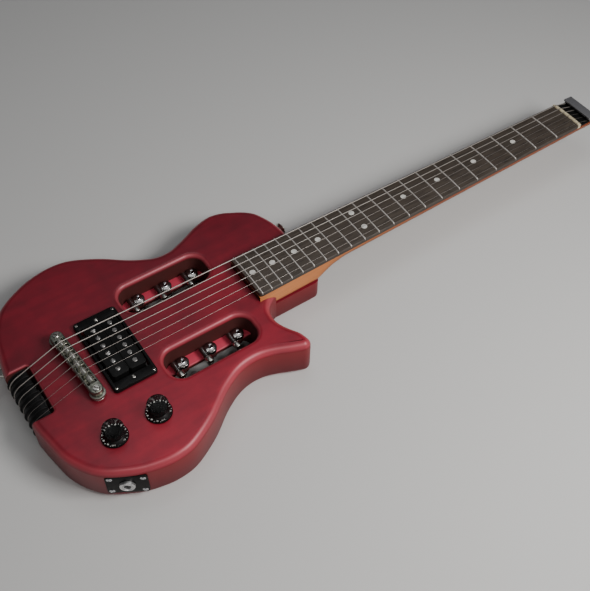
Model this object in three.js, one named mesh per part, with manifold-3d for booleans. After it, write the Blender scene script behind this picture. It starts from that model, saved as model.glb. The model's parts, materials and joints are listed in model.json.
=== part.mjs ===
// A headless travel guitar that lies on its back, in millimetres.
// x runs along the strings from the butt to the head, y points to the bass side, z up from the back.
// The origin is on the back face, on the centreline, right below the line of the bridge.
import * as THREE from "three";
import { mergeVertices } from "three/addons/utils/BufferGeometryUtils.js";
import Module from "manifold-3d";

const wasm = await Module();
wasm.setup();

// Shared values
const fitGap = 0.3; // between two pieces that touch
const overrun = 3; // how far a cut runs past the face it opens
const weldDistance = 0.0005; // vertices closer than this are one

// Strings: the scale sets the place of every fret
const scaleLength = 628.65;
const fretCount = 21;
const lowEStringRadius = 0.58;
const aStringRadius = 0.46;
const dStringRadius = 0.33;
const gStringRadius = 0.24;
const bStringRadius = 0.19;
const highEStringRadius = 0.16;
const stringRadiusOf = {
  low_e: lowEStringRadius,
  a: aStringRadius,
  d: dStringRadius,
  g: gStringRadius,
  b: bStringRadius,
  high_e: highEStringRadius,
};
const stringNames = Object.keys(stringRadiusOf);
const nutSpread = 36; // first to last string
const bridgeSpread = 50.4;
const stringSides = 6;

// Body
const bodyLength = 319.5;
const buttReach = 61.7; // from the bridge line back to the butt
const boutHalfWidth = 131.8;
const bodyThickness = 44;
const bodyEdgeRadius = 6;
// One side of the lower bout, butt to waist: along the body, across from the centreline
const lowerBoutShares = [
  [0, 0], [0, 0.228], [0.012, 0.42], [0.032, 0.618], [0.084, 0.81], [0.168, 0.935], [0.237, 0.987],
  [0.297, 1], [0.356, 0.972], [0.437, 0.867], [0.506, 0.741], [0.553, 0.672], [0.591, 0.634],
];
// The bass side from the waist round the upper bout to the shoulder
const shoulderShares = [
  [0.634, 0.631], [0.669, 0.657], [0.71, 0.697], [0.75, 0.741], [0.788, 0.77], [0.822, 0.783], [0.85, 0.774],
  [0.875, 0.754], [0.9, 0.721], [0.923, 0.69], [0.946, 0.648], [0.965, 0.596], [0.979, 0.524], [0.99, 0.444],
  [0.997, 0.35], [1, 0.228],
];
// The treble side: from the waist to the horn, the middle of the horn's tip, round the cutaway to the neck
const hornShares = [[0.629, 0.618], [0.669, 0.623], [0.71, 0.653], [0.75, 0.695]];
const hornTipShares = [0.796, 0.6775];
const hornTipRadius = 7.5;
const cutawayShares = [
  [0.811, 0.593], [0.792, 0.517], [0.778, 0.445], [0.773, 0.38], [0.778, 0.311], [0.792, 0.259],
  [0.811, 0.226],
];
const cutawayEndShare = 0.827; // of the body's length, where the cutaway meets the neck
const stepsPerPoint = 2;
const bodyEdgeSteps = 2;

// Neck pocket and the tongue of body wood below the heel
const pocketDepth = 16.2;
const tongueCornerRadius = 7;

// Neck and fretboard
const nutWidth = 42.5;
const lastFretWidth = 55.2;
const boardOverhang = 3.2; // past the last fret
const boardEdgeThickness = 4.7;
const boardCrownRadius = 305;
const fretWidth = 2.4;
const fretHeight = 1;
const fretTang = 1.2;
const heelThickness = 22;
const heelReach = 255; // from the bridge line to where the heel starts to round off
const heelBlend = 35;
const neckDepthAtHeel = 16.4;
const neckDepthAtNut = 14.5;
const headStub = 29.4; // neck past the nut's front face
const rodRadius = 2.8;
const rodChannelDepth = 9;
const rodSetback = 18; // from the board's end and from the nut to the rod's ends
// Along the blend from the heel: how far, how much of the heel's extra depth is left, how square it still is
const heelBlendShares = [[0, 1, 1], [0.2, 0.72, 0.42], [0.45, 0.38, 0.15], [0.7, 0.14, 0.06], [1, 0, 0]];
const heelSquareness = 12; // exponents of the section's superellipse
const neckSquareness = 2.15;

// Nut
const nutThickness = 4.2;
const nutBackDrop = 1.3;
const nutStringLift = 0.5; // above the tops of the frets

// String anchor at the head end
const anchorBarWidth = 8;
const anchorBarHeight = 7.3;
const anchorOverhang = 3.8; // of the bar's top over its foot, toward the nut
const anchorTopSlope = 0.9; // fall of its top toward the end
const anchorBaseLength = 22;
const anchorBaseThickness = 0.9;
const anchorHalfWidth = 20.6;
const anchorEdge = 1;
const anchorStringHeight = 0.4; // of the string above the base plate, where it enters the bar

// Butt notch and the block that turns the strings round
const notchDepth = 23.4;
const notchHalfWidth = 29.7;
const notchCornerRadius = 3;
const turnRadius = 15;
const turnCentreInset = 15.5; // from the butt face
const turnCentreHeight = 24.8;
const turnBlockFlat = 4.4; // from the turn's centre to the flat inner face
const turnRibHeight = 1.5;
const turnRibWidth = 2;
const turnSteps = 9;
const axleRadius = 2.5;
const axleSeat = 9; // how far the axle goes into the body at each end

// Tuner holes, their ledges and the string channels in the back
const holeLength = 95.4;
const holeWidth = 34.8;
const holeCornerRadius = 13.5;
const holeRimRadius = 4;
const holeMiddle = 116.2; // from the bridge line
const bassHoleCentre = 46.6;
const trebleHoleCentre = 45.4;
const ledgeWidth = 12.4;
const ledgeHeight = 20; // of its upper face above the back
const ledgeThickness = 5.5;
const channelInset = 1.5; // from the centreline to each channel at the notch
const channelMouthX = 77; // where the channels open into the holes
const bassChannelHalfWidth = 12.5;
const bassChannelMouthCentre = 44.5;
const trebleChannelInnerY = 18.5;
const trebleChannelOuterY = 44;
const trebleChannelEndX = 135;
const trebleChannelEndY = 24.5;

// Tuners
const tunerPitch = 31.2;
const bassTunerMiddle = 121.5;
const trebleTunerMiddle = 120.3;
const tunerWallOffset = 6.9; // from the hole's wall to the post's axis
const drumRadius = 6.4;
const drumHeight = 6.4;
const drumChamfer = 1.2;
const capRadius = 1.8;
const capHeight = 1.2;
const wormOffset = 8.5; // between the axes of post and worm shaft
const wormHeight = 4.2; // of the worm's axis above the ledge
const barrelRadius = 3.5;
const barrelReach = 3; // past the ledge's edge
const bushingRadius = 4.1;
const bushingBore = 3.3;
const tunerNutRadius = 5.6;
const tunerNutHeight = 3;
const postRadius = 3;
const postWaist = 2.3;
const postTip = 2.4; // of the post's lower end above the back
const postHead = 3; // how far the post reaches into the drum
const shaftRadius = 1.7;
const shaftClearance = 0.3;
const shaftSeat = 6; // of the shaft inside the barrel
const buttonGap = 1.6; // between barrel and button
const buttonLength = 7.2;
const buttonHalfWidth = 5;
const buttonHalfThickness = 3.4;
const buttonEdge = 1.1;

// Bridge: the bar stands askew so that the saddles can be set back for the thick strings
const bridgeAngle = 0.075; // radians
const bridgeSetback = 1;
const bridgeHalfLength = 42;
const bridgeWidth = 12.6;
const bridgeBottom = 49.6;
const bridgeTop = 56.2;
const bridgePostSpacing = 74;
const bridgePostRadius = 3.2;
const bridgePostTop = 57.2;
const bridgePostSeat = 22; // of the post inside its insert
const slotHalfLength = 31;
const slotWidth = 9.2;
const slotFloor = 51.4;
const insertRadius = 5.3;
const insertFlangeRadius = 6.6;
const insertFlange = 0.9;
const thumbwheelRadius = 7.6;
const thumbwheelThickness = 2.6;
const saddleLength = 4.6;
const saddleWidth = 8.7;
const saddleShoulder = 2.2; // from the crest down to where the sides are upright
const saddleCrest = 0.9;
const saddleScrewRadius = 1.1;
const saddleScrewHeight = 53.4;
const saddleScrewHead = 2;
const stringBreakSetback = 2; // the string bends down this far behind the crest
const bridgeStringHeight = 59.9; // underside of a string on the centreline
// How far each saddle stands off the middle of its slot, as a share of its free travel to one side
const saddleSetShares = [-0.35, -0.05, 0.25, -0.3, 0, 0.3];

// Pickup
const pickupCentre = 37.5;
const ringLength = 91;
const ringWidth = 44.6;
const ringHeight = 4;
const ringCornerRadius = 3.5;
const windowLength = 70.6;
const windowWidth = 38.6;
const pickupPocketFloor = 25;
const pickupPocketLength = 84;
const bobbinLength = 66;
const bobbinCornerRadius = 3;
const bobbinTop = 51.8;
const bobbinBottom = 38.2;
const poleRadius = 2.4;
const poleRise = 0.9;
const poleSpread = 51.2;
const poleRowSpacing = 17.4;
const baseplateLength = 69;
const baseplateWidth = 37.6;
const baseplateThickness = 1.6;
const earLength = 5.8;
const earWidth = 12;
const heightScrewRadius = 1.5;
const heightScrewSpacing = 78;
const heightScrewHead = 2.4;
const heightScrewHeadRise = 0.8;
const heightScrewTail = 4; // below the baseplate

// Controls
const volumeKnobX = -5.3; // from the bridge line
const toneKnobX = 38.9;
const knobInset = 48.2; // from the widest place of the body
const knobSkirtRadius = 12.5;
const knobSkirtHeight = 2.6;
const knobNeckRadius = 10.8;
const knobTopRadius = 9.8;
const knobHeight = 15.5;
const knobLift = 0.7; // above the body
const knobEdge = 1;
const knobHollowRadius = 7.4;
const knobHollowDepth = 4.2;
const potShaftRadius = 3;
const potShaftRise = 9.5; // above the body
const potShaftSeat = 5; // below the body
const potCaseRadius = 8.4;
const potCaseHeight = 9;
const potBushingRadius = 4.3;
const potBushingRise = 2.4;
const potBushingBore = 3.3;
const controlFloor = 38; // inner face of the wood above the control cavity
const cavityCentreX = 16.5;
const cavityInset = 47.8; // of its middle, from the widest place of the body
const cavityLength = 86;
const cavityWidth = 44;
const cavityCornerRadius = 18;
const coverRim = 5;
const coverThickness = 2.4;
const wireBoreRadius = 3.5;
const wireBoreHeight = 32;

// Jack plate on the treble side, and strap buttons
const jackX = -15; // along the body from the bridge line
const jackPlateLength = 37.4;
const jackPlateHeight = 29;
const jackPlateThickness = 2;
const jackPlateCorner = 3;
const jackFlatDepth = 1.7; // how deep the side is cut flat at the plate's middle
const jackCavityRadius = 11.5;
const jackCavityDepth = 36;
const jackBarrelRadius = 5.6;
const jackBarrelLength = 24;
const jackBoreRadius = 3.25;
const jackRingRadius = 7;
const jackRingThickness = 2.6;
const strapHeadRadius = 7;
const strapNeckRadius = 3.6;
const strapFootRadius = 5.2;
const strapHeight = 12.5;
const strapRim = 2;
const strapScrewRadius = 2;
const strapScrewLength = 16;
const buttStrapY = 50;
const shoulderStrapY = 57;

// Facets of round pieces
const roundSides = 20;
const smallSides = 12;
const tinySides = 8;
const hexSides = 6;
const cornerSteps = 2; // a quarter circle has twice as many edges

// Finishes
function finish(color, roughness, metalness) {
  return new THREE.MeshStandardMaterial({ color, roughness, metalness });
}
const cherryWood = finish(0x7a1c22, 0.45, 0);
const maple = finish(0xc98a52, 0.5, 0);
const rosewood = finish(0x2e211c, 0.6, 0);
const bone = finish(0xd8cfae, 0.45, 0);
const blackMetal = finish(0x1c1d1f, 0.4, 0.5);
const blackPlastic = finish(0x111111, 0.4, 0);
const agedNickel = finish(0x8b8a80, 0.35, 0.9);
const chrome = finish(0xc8cbd0, 0.15, 1);
const steel = finish(0xb8b2a8, 0.3, 1);

// Geometry helpers

const at = (x, y, z) => new THREE.Vector3(x, y, z);

// A closed geometry as a solid, its faces turned outward
function solid(geometry) {
  const bare = geometry.index ? geometry.toNonIndexed() : geometry.clone();
  bare.deleteAttribute("normal");
  bare.deleteAttribute("uv");
  const welded = mergeVertices(bare, weldDistance);
  const triVerts = new Uint32Array(welded.index.array);
  const build = () => new wasm.Manifold(
    new wasm.Mesh({ numProp: 3, vertProperties: welded.attributes.position.array, triVerts }),
  );
  const made = build();
  if (made.volume() > 0) return made;
  for (let i = 0; i < triVerts.length; i += 3) {
    [triVerts[i + 1], triVerts[i + 2]] = [triVerts[i + 2], triVerts[i + 1]];
  }
  return build();
}

const join = (first, ...others) => others.reduce((sum, other) => sum.add(other), first);
const cut = (first, ...others) => others.reduce((rest, other) => rest.subtract(other), first);

function geometryOf(made) {
  const mesh = made.getMesh();
  const geometry = new THREE.BufferGeometry();
  geometry.setAttribute("position", new THREE.BufferAttribute(new Float32Array(mesh.vertProperties), 3));
  geometry.setIndex(new THREE.BufferAttribute(new Uint32Array(mesh.triVerts), 1));
  return geometry;
}

// A box between two corners
function block(low, high) {
  const size = high.clone().sub(low);
  const middle = high.clone().add(low).multiplyScalar(1 / 2);
  return solid(new THREE.BoxGeometry(size.x, size.y, size.z).translate(middle.x, middle.y, middle.z));
}

// A round bar between two points
function bar(radius, from, to, sides = smallSides) {
  const along = to.clone().sub(from);
  const geometry = new THREE.CylinderGeometry(radius, radius, along.length(), sides);
  const turn = new THREE.Quaternion().setFromUnitVectors(at(0, 1, 0), along.normalize());
  const middle = from.clone().add(to).multiplyScalar(1 / 2);
  geometry.applyMatrix4(new THREE.Matrix4().compose(middle, turn, at(1, 1, 1)));
  return solid(geometry);
}

// A profile of [radius, height] pairs turned round z: from the axis to the axis, or closed on itself
function turned(profile, sides = roundSides) {
  const closed = profile[0][0] === 0 ? profile : [...profile, profile[0]];
  const points = closed.map(([radius, height]) => new THREE.Vector2(radius, height));
  return solid(new THREE.LatheGeometry(points, sides).rotateX(Math.PI / 2));
}

function prism(shape, bottom, top) {
  const settings = { depth: top - bottom, bevelEnabled: false, curveSegments: cornerSteps };
  return solid(new THREE.ExtrudeGeometry(shape, settings).translate(0, 0, bottom));
}

function roundedRectangle(length, width, radius, centreX = 0, centreY = 0) {
  const [inX, inY] = [length / 2 - radius, width / 2 - radius];
  const shape = new THREE.Shape();
  const corners = [[inX, inY], [-inX, inY], [-inX, -inY], [inX, -inY]];
  corners.forEach(([x, y], quarter) => {
    const start = (quarter * Math.PI) / 2;
    shape.absarc(centreX + x, centreY + y, radius, start, start + Math.PI / 2);
  });
  return shape;
}

// Rings of points, one after the other, joined into a closed skin with flat ends
function loft(rings) {
  const sides = rings[0].length;
  const index = [];
  const push = (...corners) => index.push(...corners);
  for (let r = 0; r + 1 < rings.length; r++) {
    for (let s = 0; s < sides; s++) {
      const [a, b] = [r * sides + s, r * sides + ((s + 1) % sides)];
      push(a, b, b + sides);
      push(a, b + sides, a + sides);
    }
  }
  const last = (rings.length - 1) * sides;
  for (let s = 1; s + 1 < sides; s++) {
    push(0, s + 1, s);
    push(last, last + s, last + s + 1);
  }
  const geometry = new THREE.BufferGeometry().setFromPoints(rings.flat());
  geometry.setIndex(index);
  return solid(geometry);
}

// A rounded rectangle standing up from z = bottom, whose upper rim flares out like a rounded edge
function flaredPocket(length, width, corner, rim, centreX, centreY, bottom, top) {
  const ring = (grow, height) =>
    roundedRectangle(length + 2 * grow, width + 2 * grow, corner + grow, centreX, centreY)
      .getPoints(cornerSteps)
      .map((p) => at(p.x, p.y, height));
  const quarter = [0, 1 / 2, 1].map((share) => (share * Math.PI) / 2);
  const flare = quarter.map((angle) => ring(rim * (1 - Math.cos(angle)), top - rim + rim * Math.sin(angle)));
  return loft([ring(0, bottom), ...flare, ring(rim, top + overrun)]);
}

const guitar = new THREE.Group();

function piece(name, made, material, parent = guitar) {
  const mesh = new THREE.Mesh(geometryOf(made), material);
  mesh.name = name;
  parent.add(mesh);
  return mesh;
}

function placedGroup(x, y, z, parent = guitar) {
  const group = new THREE.Group();
  group.position.set(x, y, z);
  parent.add(group);
  return group;
}

// Places that several pieces share
const fretX = (n) => scaleLength * 2 ** (-n / 12);
const boardEnd = fretX(fretCount) - boardOverhang;
const taper = (lastFretWidth - nutWidth) / 2 / (scaleLength - fretX(fretCount));
const neckHalfWidth = (x) => nutWidth / 2 + taper * (scaleLength - Math.min(x, scaleLength));
const pocketFloor = bodyThickness - pocketDepth;
const neckTop = pocketFloor + heelThickness;
const boardBottom = neckTop + fitGap;
const boardEdgeTop = boardBottom + boardEdgeThickness;
const neckEnd = scaleLength + headStub;
const crown = (y) => boardCrownRadius - Math.sqrt(boardCrownRadius ** 2 - y ** 2);
const boardTopAt = (x, y) => boardEdgeTop + crown(neckHalfWidth(x)) - crown(y);
const stringShare = (i) => 1 / 2 - i / (stringNames.length - 1);
const buttX = -buttReach;
const shoulderX = buttX + bodyLength;
const cutawayEndX = buttX + cutawayEndShare * bodyLength;
const knobY = knobInset - boutHalfWidth;
const cavityCentreY = cavityInset - boutHalfWidth;
const holes = {
  bass: { centre: bassHoleCentre, middle: bassTunerMiddle, strings: [0, 1, 2] },
  treble: { centre: -trebleHoleCentre, middle: trebleTunerMiddle, strings: [5, 4, 3] },
};
for (const hole of Object.values(holes)) {
  hole.wall = hole.centre + holeWidth / 2;
  hole.ledgeEdge = hole.wall - ledgeWidth;
}
const turnCentre = at(buttX + turnCentreInset, 0, turnCentreHeight);
const bridgeAxisX = -bridgeSetback;

// Body outline: a smooth line through its points up to the horn's round tip, another one round the cutaway,
// then straight along the neck to the tongue's round corner
function bodyOutline() {
  const place = (side) => ([along, across]) =>
    new THREE.Vector2(buttX + along * bodyLength, side * across * boutHalfWidth);
  const bassSide = [...lowerBoutShares.slice(1), ...shoulderShares].map(place(1));
  const trebleSide = [...lowerBoutShares, ...hornShares].map(place(-1));
  const cutaway = cutawayShares.map(place(-1));
  const tip = place(-1)(hornTipShares);
  // The direction, from the tip's centre, of the place where a line from a neighbouring point touches the tip
  const touch = (point, turn) => {
    const away = point.clone().sub(tip);
    return away.angle() + turn * Math.acos(hornTipRadius / away.length());
  };
  const [tipStart, tipEnd] = [touch(trebleSide.at(-1), 1), touch(cutaway[0], -1)];
  const onTip = new THREE.Vector2(hornTipRadius, 0).rotateAround(new THREE.Vector2(), tipStart).add(tip);
  const toHorn = [...bassSide.reverse(), ...trebleSide, onTip];
  const shape = new THREE.Shape(new THREE.SplineCurve(toHorn).getPoints(stepsPerPoint * toHorn.length));
  shape.absarc(tip.x, tip.y, hornTipRadius, tipStart, tipEnd);
  const tongueY = -neckHalfWidth(cutawayEndX) - fitGap;
  shape.splineThru([...cutaway, new THREE.Vector2(cutawayEndX, tongueY)]);
  shape.absarc(
    shoulderX - tongueCornerRadius,
    tongueY + tongueCornerRadius,
    tongueCornerRadius,
    -Math.PI / 2,
    0,
  );
  return shape;
}
const outline = bodyOutline();
const outlinePoints = outline.getPoints(stepsPerPoint);

// The outermost place of the side wall at one x or y, and the wall's outward direction there
function wallAt(axis, value, outward) {
  const other = axis === "x" ? "y" : "x";
  let found = null;
  outlinePoints.forEach((from, i) => {
    const to = outlinePoints[(i + 1) % outlinePoints.length];
    if (from[axis] - value > 0 === to[axis] - value > 0) return;
    const share = (value - from[axis]) / (to[axis] - from[axis]);
    const place = from.clone().lerp(to, share);
    if (found && (place[other] - found.place[other]) * outward < 0) return;
    const along = to.clone().sub(from).normalize();
    const normal = new THREE.Vector2(along.y, -along.x);
    if (normal[other] * outward < 0) normal.negate();
    found = { place, normal };
  });
  return found;
}

// A frame on the side wall: x along the wall, y up, z out of the wood
function wallFrame(wall, height, parent = guitar) {
  const group = placedGroup(wall.place.x, wall.place.y, height, parent);
  const [out, up] = [at(wall.normal.x, wall.normal.y, 0), at(0, 0, 1)];
  const along = up.clone().cross(out);
  group.quaternion.setFromRotationMatrix(new THREE.Matrix4().makeBasis(along, up, out));
  group.updateMatrix();
  return group;
}
const moved = (made, group) => solid(geometryOf(made).applyMatrix4(group.matrix));

// Frames of the jack plate and the two strap buttons
const middleHeight = bodyThickness / 2;
const jackFrame = wallFrame(wallAt("x", jackX, -1), middleHeight);
const buttStrapFrame = wallFrame(wallAt("y", buttStrapY, -1), middleHeight);
const shoulderStrapFrame = wallFrame(wallAt("y", shoulderStrapY, 1), middleHeight);

function bodySlab() {
  const geometry = new THREE.ExtrudeGeometry(outline, {
    depth: bodyThickness - 2 * bodyEdgeRadius,
    bevelThickness: bodyEdgeRadius,
    bevelSize: bodyEdgeRadius,
    bevelOffset: -bodyEdgeRadius,
    bevelSegments: bodyEdgeSteps,
    curveSegments: stepsPerPoint,
  });
  return solid(geometry.translate(0, 0, bodyEdgeRadius));
}

// The neck pocket follows the neck's taper, and is open to the side past the cutaway
function neckPocket() {
  const [from, to] = [boardEnd - fitGap, shoulderX + overrun];
  const [wide, narrow] = [neckHalfWidth(from) + fitGap, neckHalfWidth(to) + fitGap];
  const outward = wide + tongueCornerRadius;
  const shape = new THREE.Shape([
    new THREE.Vector2(from, wide),
    new THREE.Vector2(from, -wide),
    new THREE.Vector2(cutawayEndX, -neckHalfWidth(cutawayEndX) - fitGap),
    new THREE.Vector2(cutawayEndX, -outward),
    new THREE.Vector2(to, -outward),
    new THREE.Vector2(to, narrow),
  ]);
  return prism(shape, pocketFloor - fitGap, bodyThickness + overrun);
}

// A tuner hole: open above the ledge, through beside it, and open again below it
function tunerHole({ centre, wall, ledgeEdge }) {
  const upper = flaredPocket(
    holeLength, holeWidth, holeCornerRadius, holeRimRadius, holeMiddle, centre, ledgeHeight, bodyThickness,
  );
  const plan = roundedRectangle(holeLength, holeWidth, holeCornerRadius, holeMiddle, centre);
  const through = prism(plan, -overrun, ledgeHeight + overrun);
  const [left, right] = [holeMiddle - holeLength, holeMiddle + holeLength];
  const ledge = block(
    at(left, ledgeEdge, ledgeHeight - ledgeThickness),
    at(right, wall + overrun, ledgeHeight),
  );
  const ledgeInside = through.intersect(ledge);
  return join(upper, cut(through, ledgeInside));
}

// Channels in the back that lead the strings from the notch to the posts
function stringChannels() {
  const top = ledgeHeight - ledgeThickness;
  const notchEnd = buttX + notchDepth - overrun;
  const polygon = (points) => {
    const plan = new THREE.Shape(points.map(([x, y]) => new THREE.Vector2(x, y)));
    return prism(plan, -overrun, top);
  };
  const bass = polygon([
    [notchEnd, channelInset],
    [channelMouthX, bassChannelMouthCentre - bassChannelHalfWidth],
    [channelMouthX, bassChannelMouthCentre + bassChannelHalfWidth],
    [notchEnd, notchHalfWidth],
  ]);
  const treble = polygon([
    [notchEnd, -notchHalfWidth],
    [channelMouthX, -trebleChannelOuterY],
    [trebleChannelEndX, -trebleChannelOuterY],
    [trebleChannelEndX, -trebleChannelEndY],
    [channelMouthX, -trebleChannelInnerY],
    [notchEnd, -channelInset],
  ]);
  return join(bass, treble);
}

function buttNotch() {
  const length = notchDepth + 2 * overrun;
  const centreX = buttX + notchDepth - length / 2;
  const shape = roundedRectangle(length, 2 * notchHalfWidth, notchCornerRadius, centreX, 0);
  return prism(shape, -overrun, bodyThickness + overrun);
}

const jackSeat = -jackFlatDepth; // the plate's inner face, from the wall's outermost place

function jackCuts() {
  const half = jackPlateLength / 2 + fitGap;
  const high = jackPlateHeight / 2 + fitGap;
  const flat = block(at(-half, -high, jackSeat - fitGap), at(half, high, overrun));
  const bore = bar(jackCavityRadius, at(0, 0, -jackCavityDepth), at(0, 0, overrun));
  return moved(join(flat, bore), jackFrame);
}

function strapBore(frame) {
  const radius = strapScrewRadius + fitGap;
  return moved(bar(radius, at(0, 0, -strapScrewLength - fitGap), at(0, 0, overrun), tinySides), frame);
}

const knobPlaces = { volume: volumeKnobX, tone: toneKnobX };

function controlCuts() {
  const cavity = prism(
    roundedRectangle(cavityLength, cavityWidth, cavityCornerRadius, cavityCentreX, cavityCentreY),
    -overrun,
    controlFloor,
  );
  const recess = prism(coverPlan(fitGap), -overrun, coverThickness + 2 * fitGap);
  const wire = bar(
    wireBoreRadius,
    at(pickupCentre, -poleSpread / 2, wireBoreHeight),
    at(cavityCentreX, cavityCentreY, wireBoreHeight),
    tinySides,
  );
  const [boreBottom, boreTop] = [controlFloor - overrun, bodyThickness + overrun];
  const bores = Object.values(knobPlaces).map((x) =>
    bar(potBushingRadius + fitGap, at(x, knobY, boreBottom), at(x, knobY, boreTop)),
  );
  return join(cavity, recess, wire, ...bores);
}

function coverPlan(grow) {
  const rim = 2 * (coverRim + grow);
  return roundedRectangle(
    cavityLength + rim, cavityWidth + rim, cavityCornerRadius + coverRim + grow, cavityCentreX, cavityCentreY,
  );
}

function pickupPocket() {
  const room = (halfWidth, halfLength) => block(
    at(pickupCentre - halfWidth, -halfLength, pickupPocketFloor),
    at(pickupCentre + halfWidth, halfLength, bodyThickness + overrun),
  );
  const coils = room(windowWidth / 2 + fitGap, windowLength / 2 + fitGap);
  return join(coils, room(earWidth / 2 + fitGap, pickupPocketLength / 2));
}

// Bridge posts, in the bridge's own frame
const bridgeFrame = placedGroup(bridgeAxisX, 0, 0);
bridgeFrame.rotation.z = bridgeAngle;
bridgeFrame.updateMatrix();
const postPlaces = { bass: bridgePostSpacing / 2, treble: -bridgePostSpacing / 2 };
const insertBottom = bodyThickness - bridgePostSeat - fitGap;

function insertBores() {
  const bores = Object.values(postPlaces).map((y) =>
    bar(insertRadius + fitGap, at(0, y, insertBottom - fitGap), at(0, y, bodyThickness + overrun)),
  );
  return moved(join(...bores), bridgeFrame);
}

function postBores({ middle, wall, strings }) {
  const y = wall - tunerWallOffset;
  const bottom = ledgeHeight - ledgeThickness - overrun;
  return strings.map((_, order) => {
    const x = middle + (order - 1) * tunerPitch;
    return bar(bushingRadius + fitGap, at(x, y, bottom), at(x, y, ledgeHeight + overrun));
  });
}

// A round bar along the turn's own axis
const acrossNotch = (radius, reach) =>
  bar(radius, turnCentre.clone().setY(-reach), turnCentre.clone().setY(reach));

const body = cut(
  bodySlab(),
  neckPocket(),
  tunerHole(holes.bass),
  tunerHole(holes.treble),
  stringChannels(),
  buttNotch(),
  acrossNotch(axleRadius + fitGap, notchHalfWidth + axleSeat + fitGap),
  pickupPocket(),
  insertBores(),
  controlCuts(),
  jackCuts(),
  strapBore(buttStrapFrame),
  strapBore(shoulderStrapFrame),
  ...postBores(holes.bass),
  ...postBores(holes.treble),
);
piece("body", body, cherryWood);

// Neck: a square heel that rounds off into the player's grip

const neckRingSteps = 14;

function neckRing(x, depth, squareness) {
  const half = neckHalfWidth(x);
  const ring = [];
  for (let i = 0; i <= neckRingSteps; i++) {
    const angle = (Math.PI * i) / neckRingSteps;
    const [c, s] = [Math.cos(angle), Math.sin(angle)];
    const across = half * Math.sign(c) * Math.abs(c) ** (2 / squareness);
    ring.push(at(x, across, neckTop - depth * s ** (2 / squareness)));
  }
  return ring;
}

function neckBlank() {
  const extra = heelThickness - neckDepthAtHeel;
  const extraSquare = heelSquareness - neckSquareness;
  const blend = heelBlendShares.map(([along, deeper, squarer]) => {
    const [depth, squareness] = [neckDepthAtHeel + deeper * extra, neckSquareness + squarer * extraSquare];
    return neckRing(heelReach + along * heelBlend, depth, squareness);
  });
  return loft([
    neckRing(boardEnd, heelThickness, heelSquareness),
    ...blend,
    neckRing(scaleLength, neckDepthAtNut, neckSquareness),
    neckRing(neckEnd, neckDepthAtNut, neckSquareness),
  ]);
}

const rodStart = boardEnd + rodSetback;
const rodEnd = scaleLength - rodSetback;
const rodChannel = block(
  at(rodStart - fitGap, -rodRadius - fitGap, neckTop - rodChannelDepth),
  at(rodEnd + fitGap, rodRadius + fitGap, neckTop + overrun),
);
piece("neck", cut(neckBlank(), rodChannel), maple);
const rodHeight = neckTop - rodChannelDepth + rodRadius + fitGap;
piece("truss_rod", bar(rodRadius, at(rodStart, 0, rodHeight), at(rodEnd, 0, rodHeight), tinySides), steel);

// Fretboard with a crowned face, and its frets pressed in

const crownShares = [1, 0.4, -0.4, -1];

function boardRing(x) {
  const half = neckHalfWidth(x);
  const crowned = crownShares.map((share) => at(x, share * half, boardTopAt(x, share * half)));
  return [at(x, half, boardBottom), at(x, -half, boardBottom), ...crowned.reverse()];
}

// A fret is a low rounded bar that follows the crown, with its tang in the wood
function fret(n) {
  const x = fretX(n);
  const half = neckHalfWidth(x) - fitGap;
  const rings = crownShares.map((share) => {
    const y = share * half;
    const base = boardTopAt(x, y);
    return [
      at(x - fretWidth / 2, y, base - fretTang),
      at(x + fretWidth / 2, y, base - fretTang),
      at(x + fretWidth / 2, y, base + fretHeight / 3),
      at(x + fretWidth / 5, y, base + fretHeight),
      at(x - fretWidth / 5, y, base + fretHeight),
      at(x - fretWidth / 2, y, base + fretHeight / 3),
    ];
  });
  return loft(rings);
}

const frets = Array.from({ length: fretCount }, (_, i) => fret(i + 1));
const board = loft([boardRing(boardEnd), boardRing(scaleLength - fitGap)]);
piece("fretboard", join(board, ...frets), rosewood);

// Heights of the strings' undersides at the nut and at the bridge
const nutStringBottom = (y) => boardTopAt(scaleLength, y) + fretHeight + nutStringLift;
const saddleStringBottom = (y) => bridgeStringHeight - crown(y);

// Nut: its top slopes down behind, like the strings

function nut() {
  const half = nutWidth / 2;
  const top = nutStringBottom(nutSpread / 2) - fitGap;
  const profile = (y) => [
    at(scaleLength, y, boardBottom),
    at(scaleLength + nutThickness, y, boardBottom),
    at(scaleLength + nutThickness, y, top - nutBackDrop),
    at(scaleLength, y, top),
  ];
  return loft([profile(half), profile(-half)]);
}
piece("nut", nut(), bone);

// String anchor: a bar on a thin base plate, at the very end of the neck
const anchorBottom = neckTop + fitGap;
const anchorBack = neckEnd - fitGap;
const anchorFace = anchorBack - anchorBarWidth;
const anchorEntry = anchorBottom + anchorBaseThickness + anchorStringHeight;

function stringAnchor() {
  const base = block(
    at(anchorBack - anchorBaseLength, -anchorHalfWidth, anchorBottom),
    at(anchorBack, anchorHalfWidth, anchorBottom + anchorBaseThickness),
  );
  const top = anchorBottom + anchorBarHeight;
  const section = [
    [anchorFace, anchorBottom],
    [anchorFace - anchorOverhang, top - anchorEdge],
    [anchorFace - anchorOverhang + anchorEdge / 2, top],
    [anchorBack - anchorEdge, top - anchorTopSlope],
    [anchorBack, top - anchorTopSlope - anchorEdge],
    [anchorBack, anchorBottom],
  ];
  const ends = [anchorHalfWidth, -anchorHalfWidth].map((y) => section.map(([x, z]) => at(x, y, z)));
  return join(loft(ends), base);
}
piece("string_anchor", stringAnchor(), blackMetal);

// Turn block: half round, with a rib on each side of every string, on an axle across the notch

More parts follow.
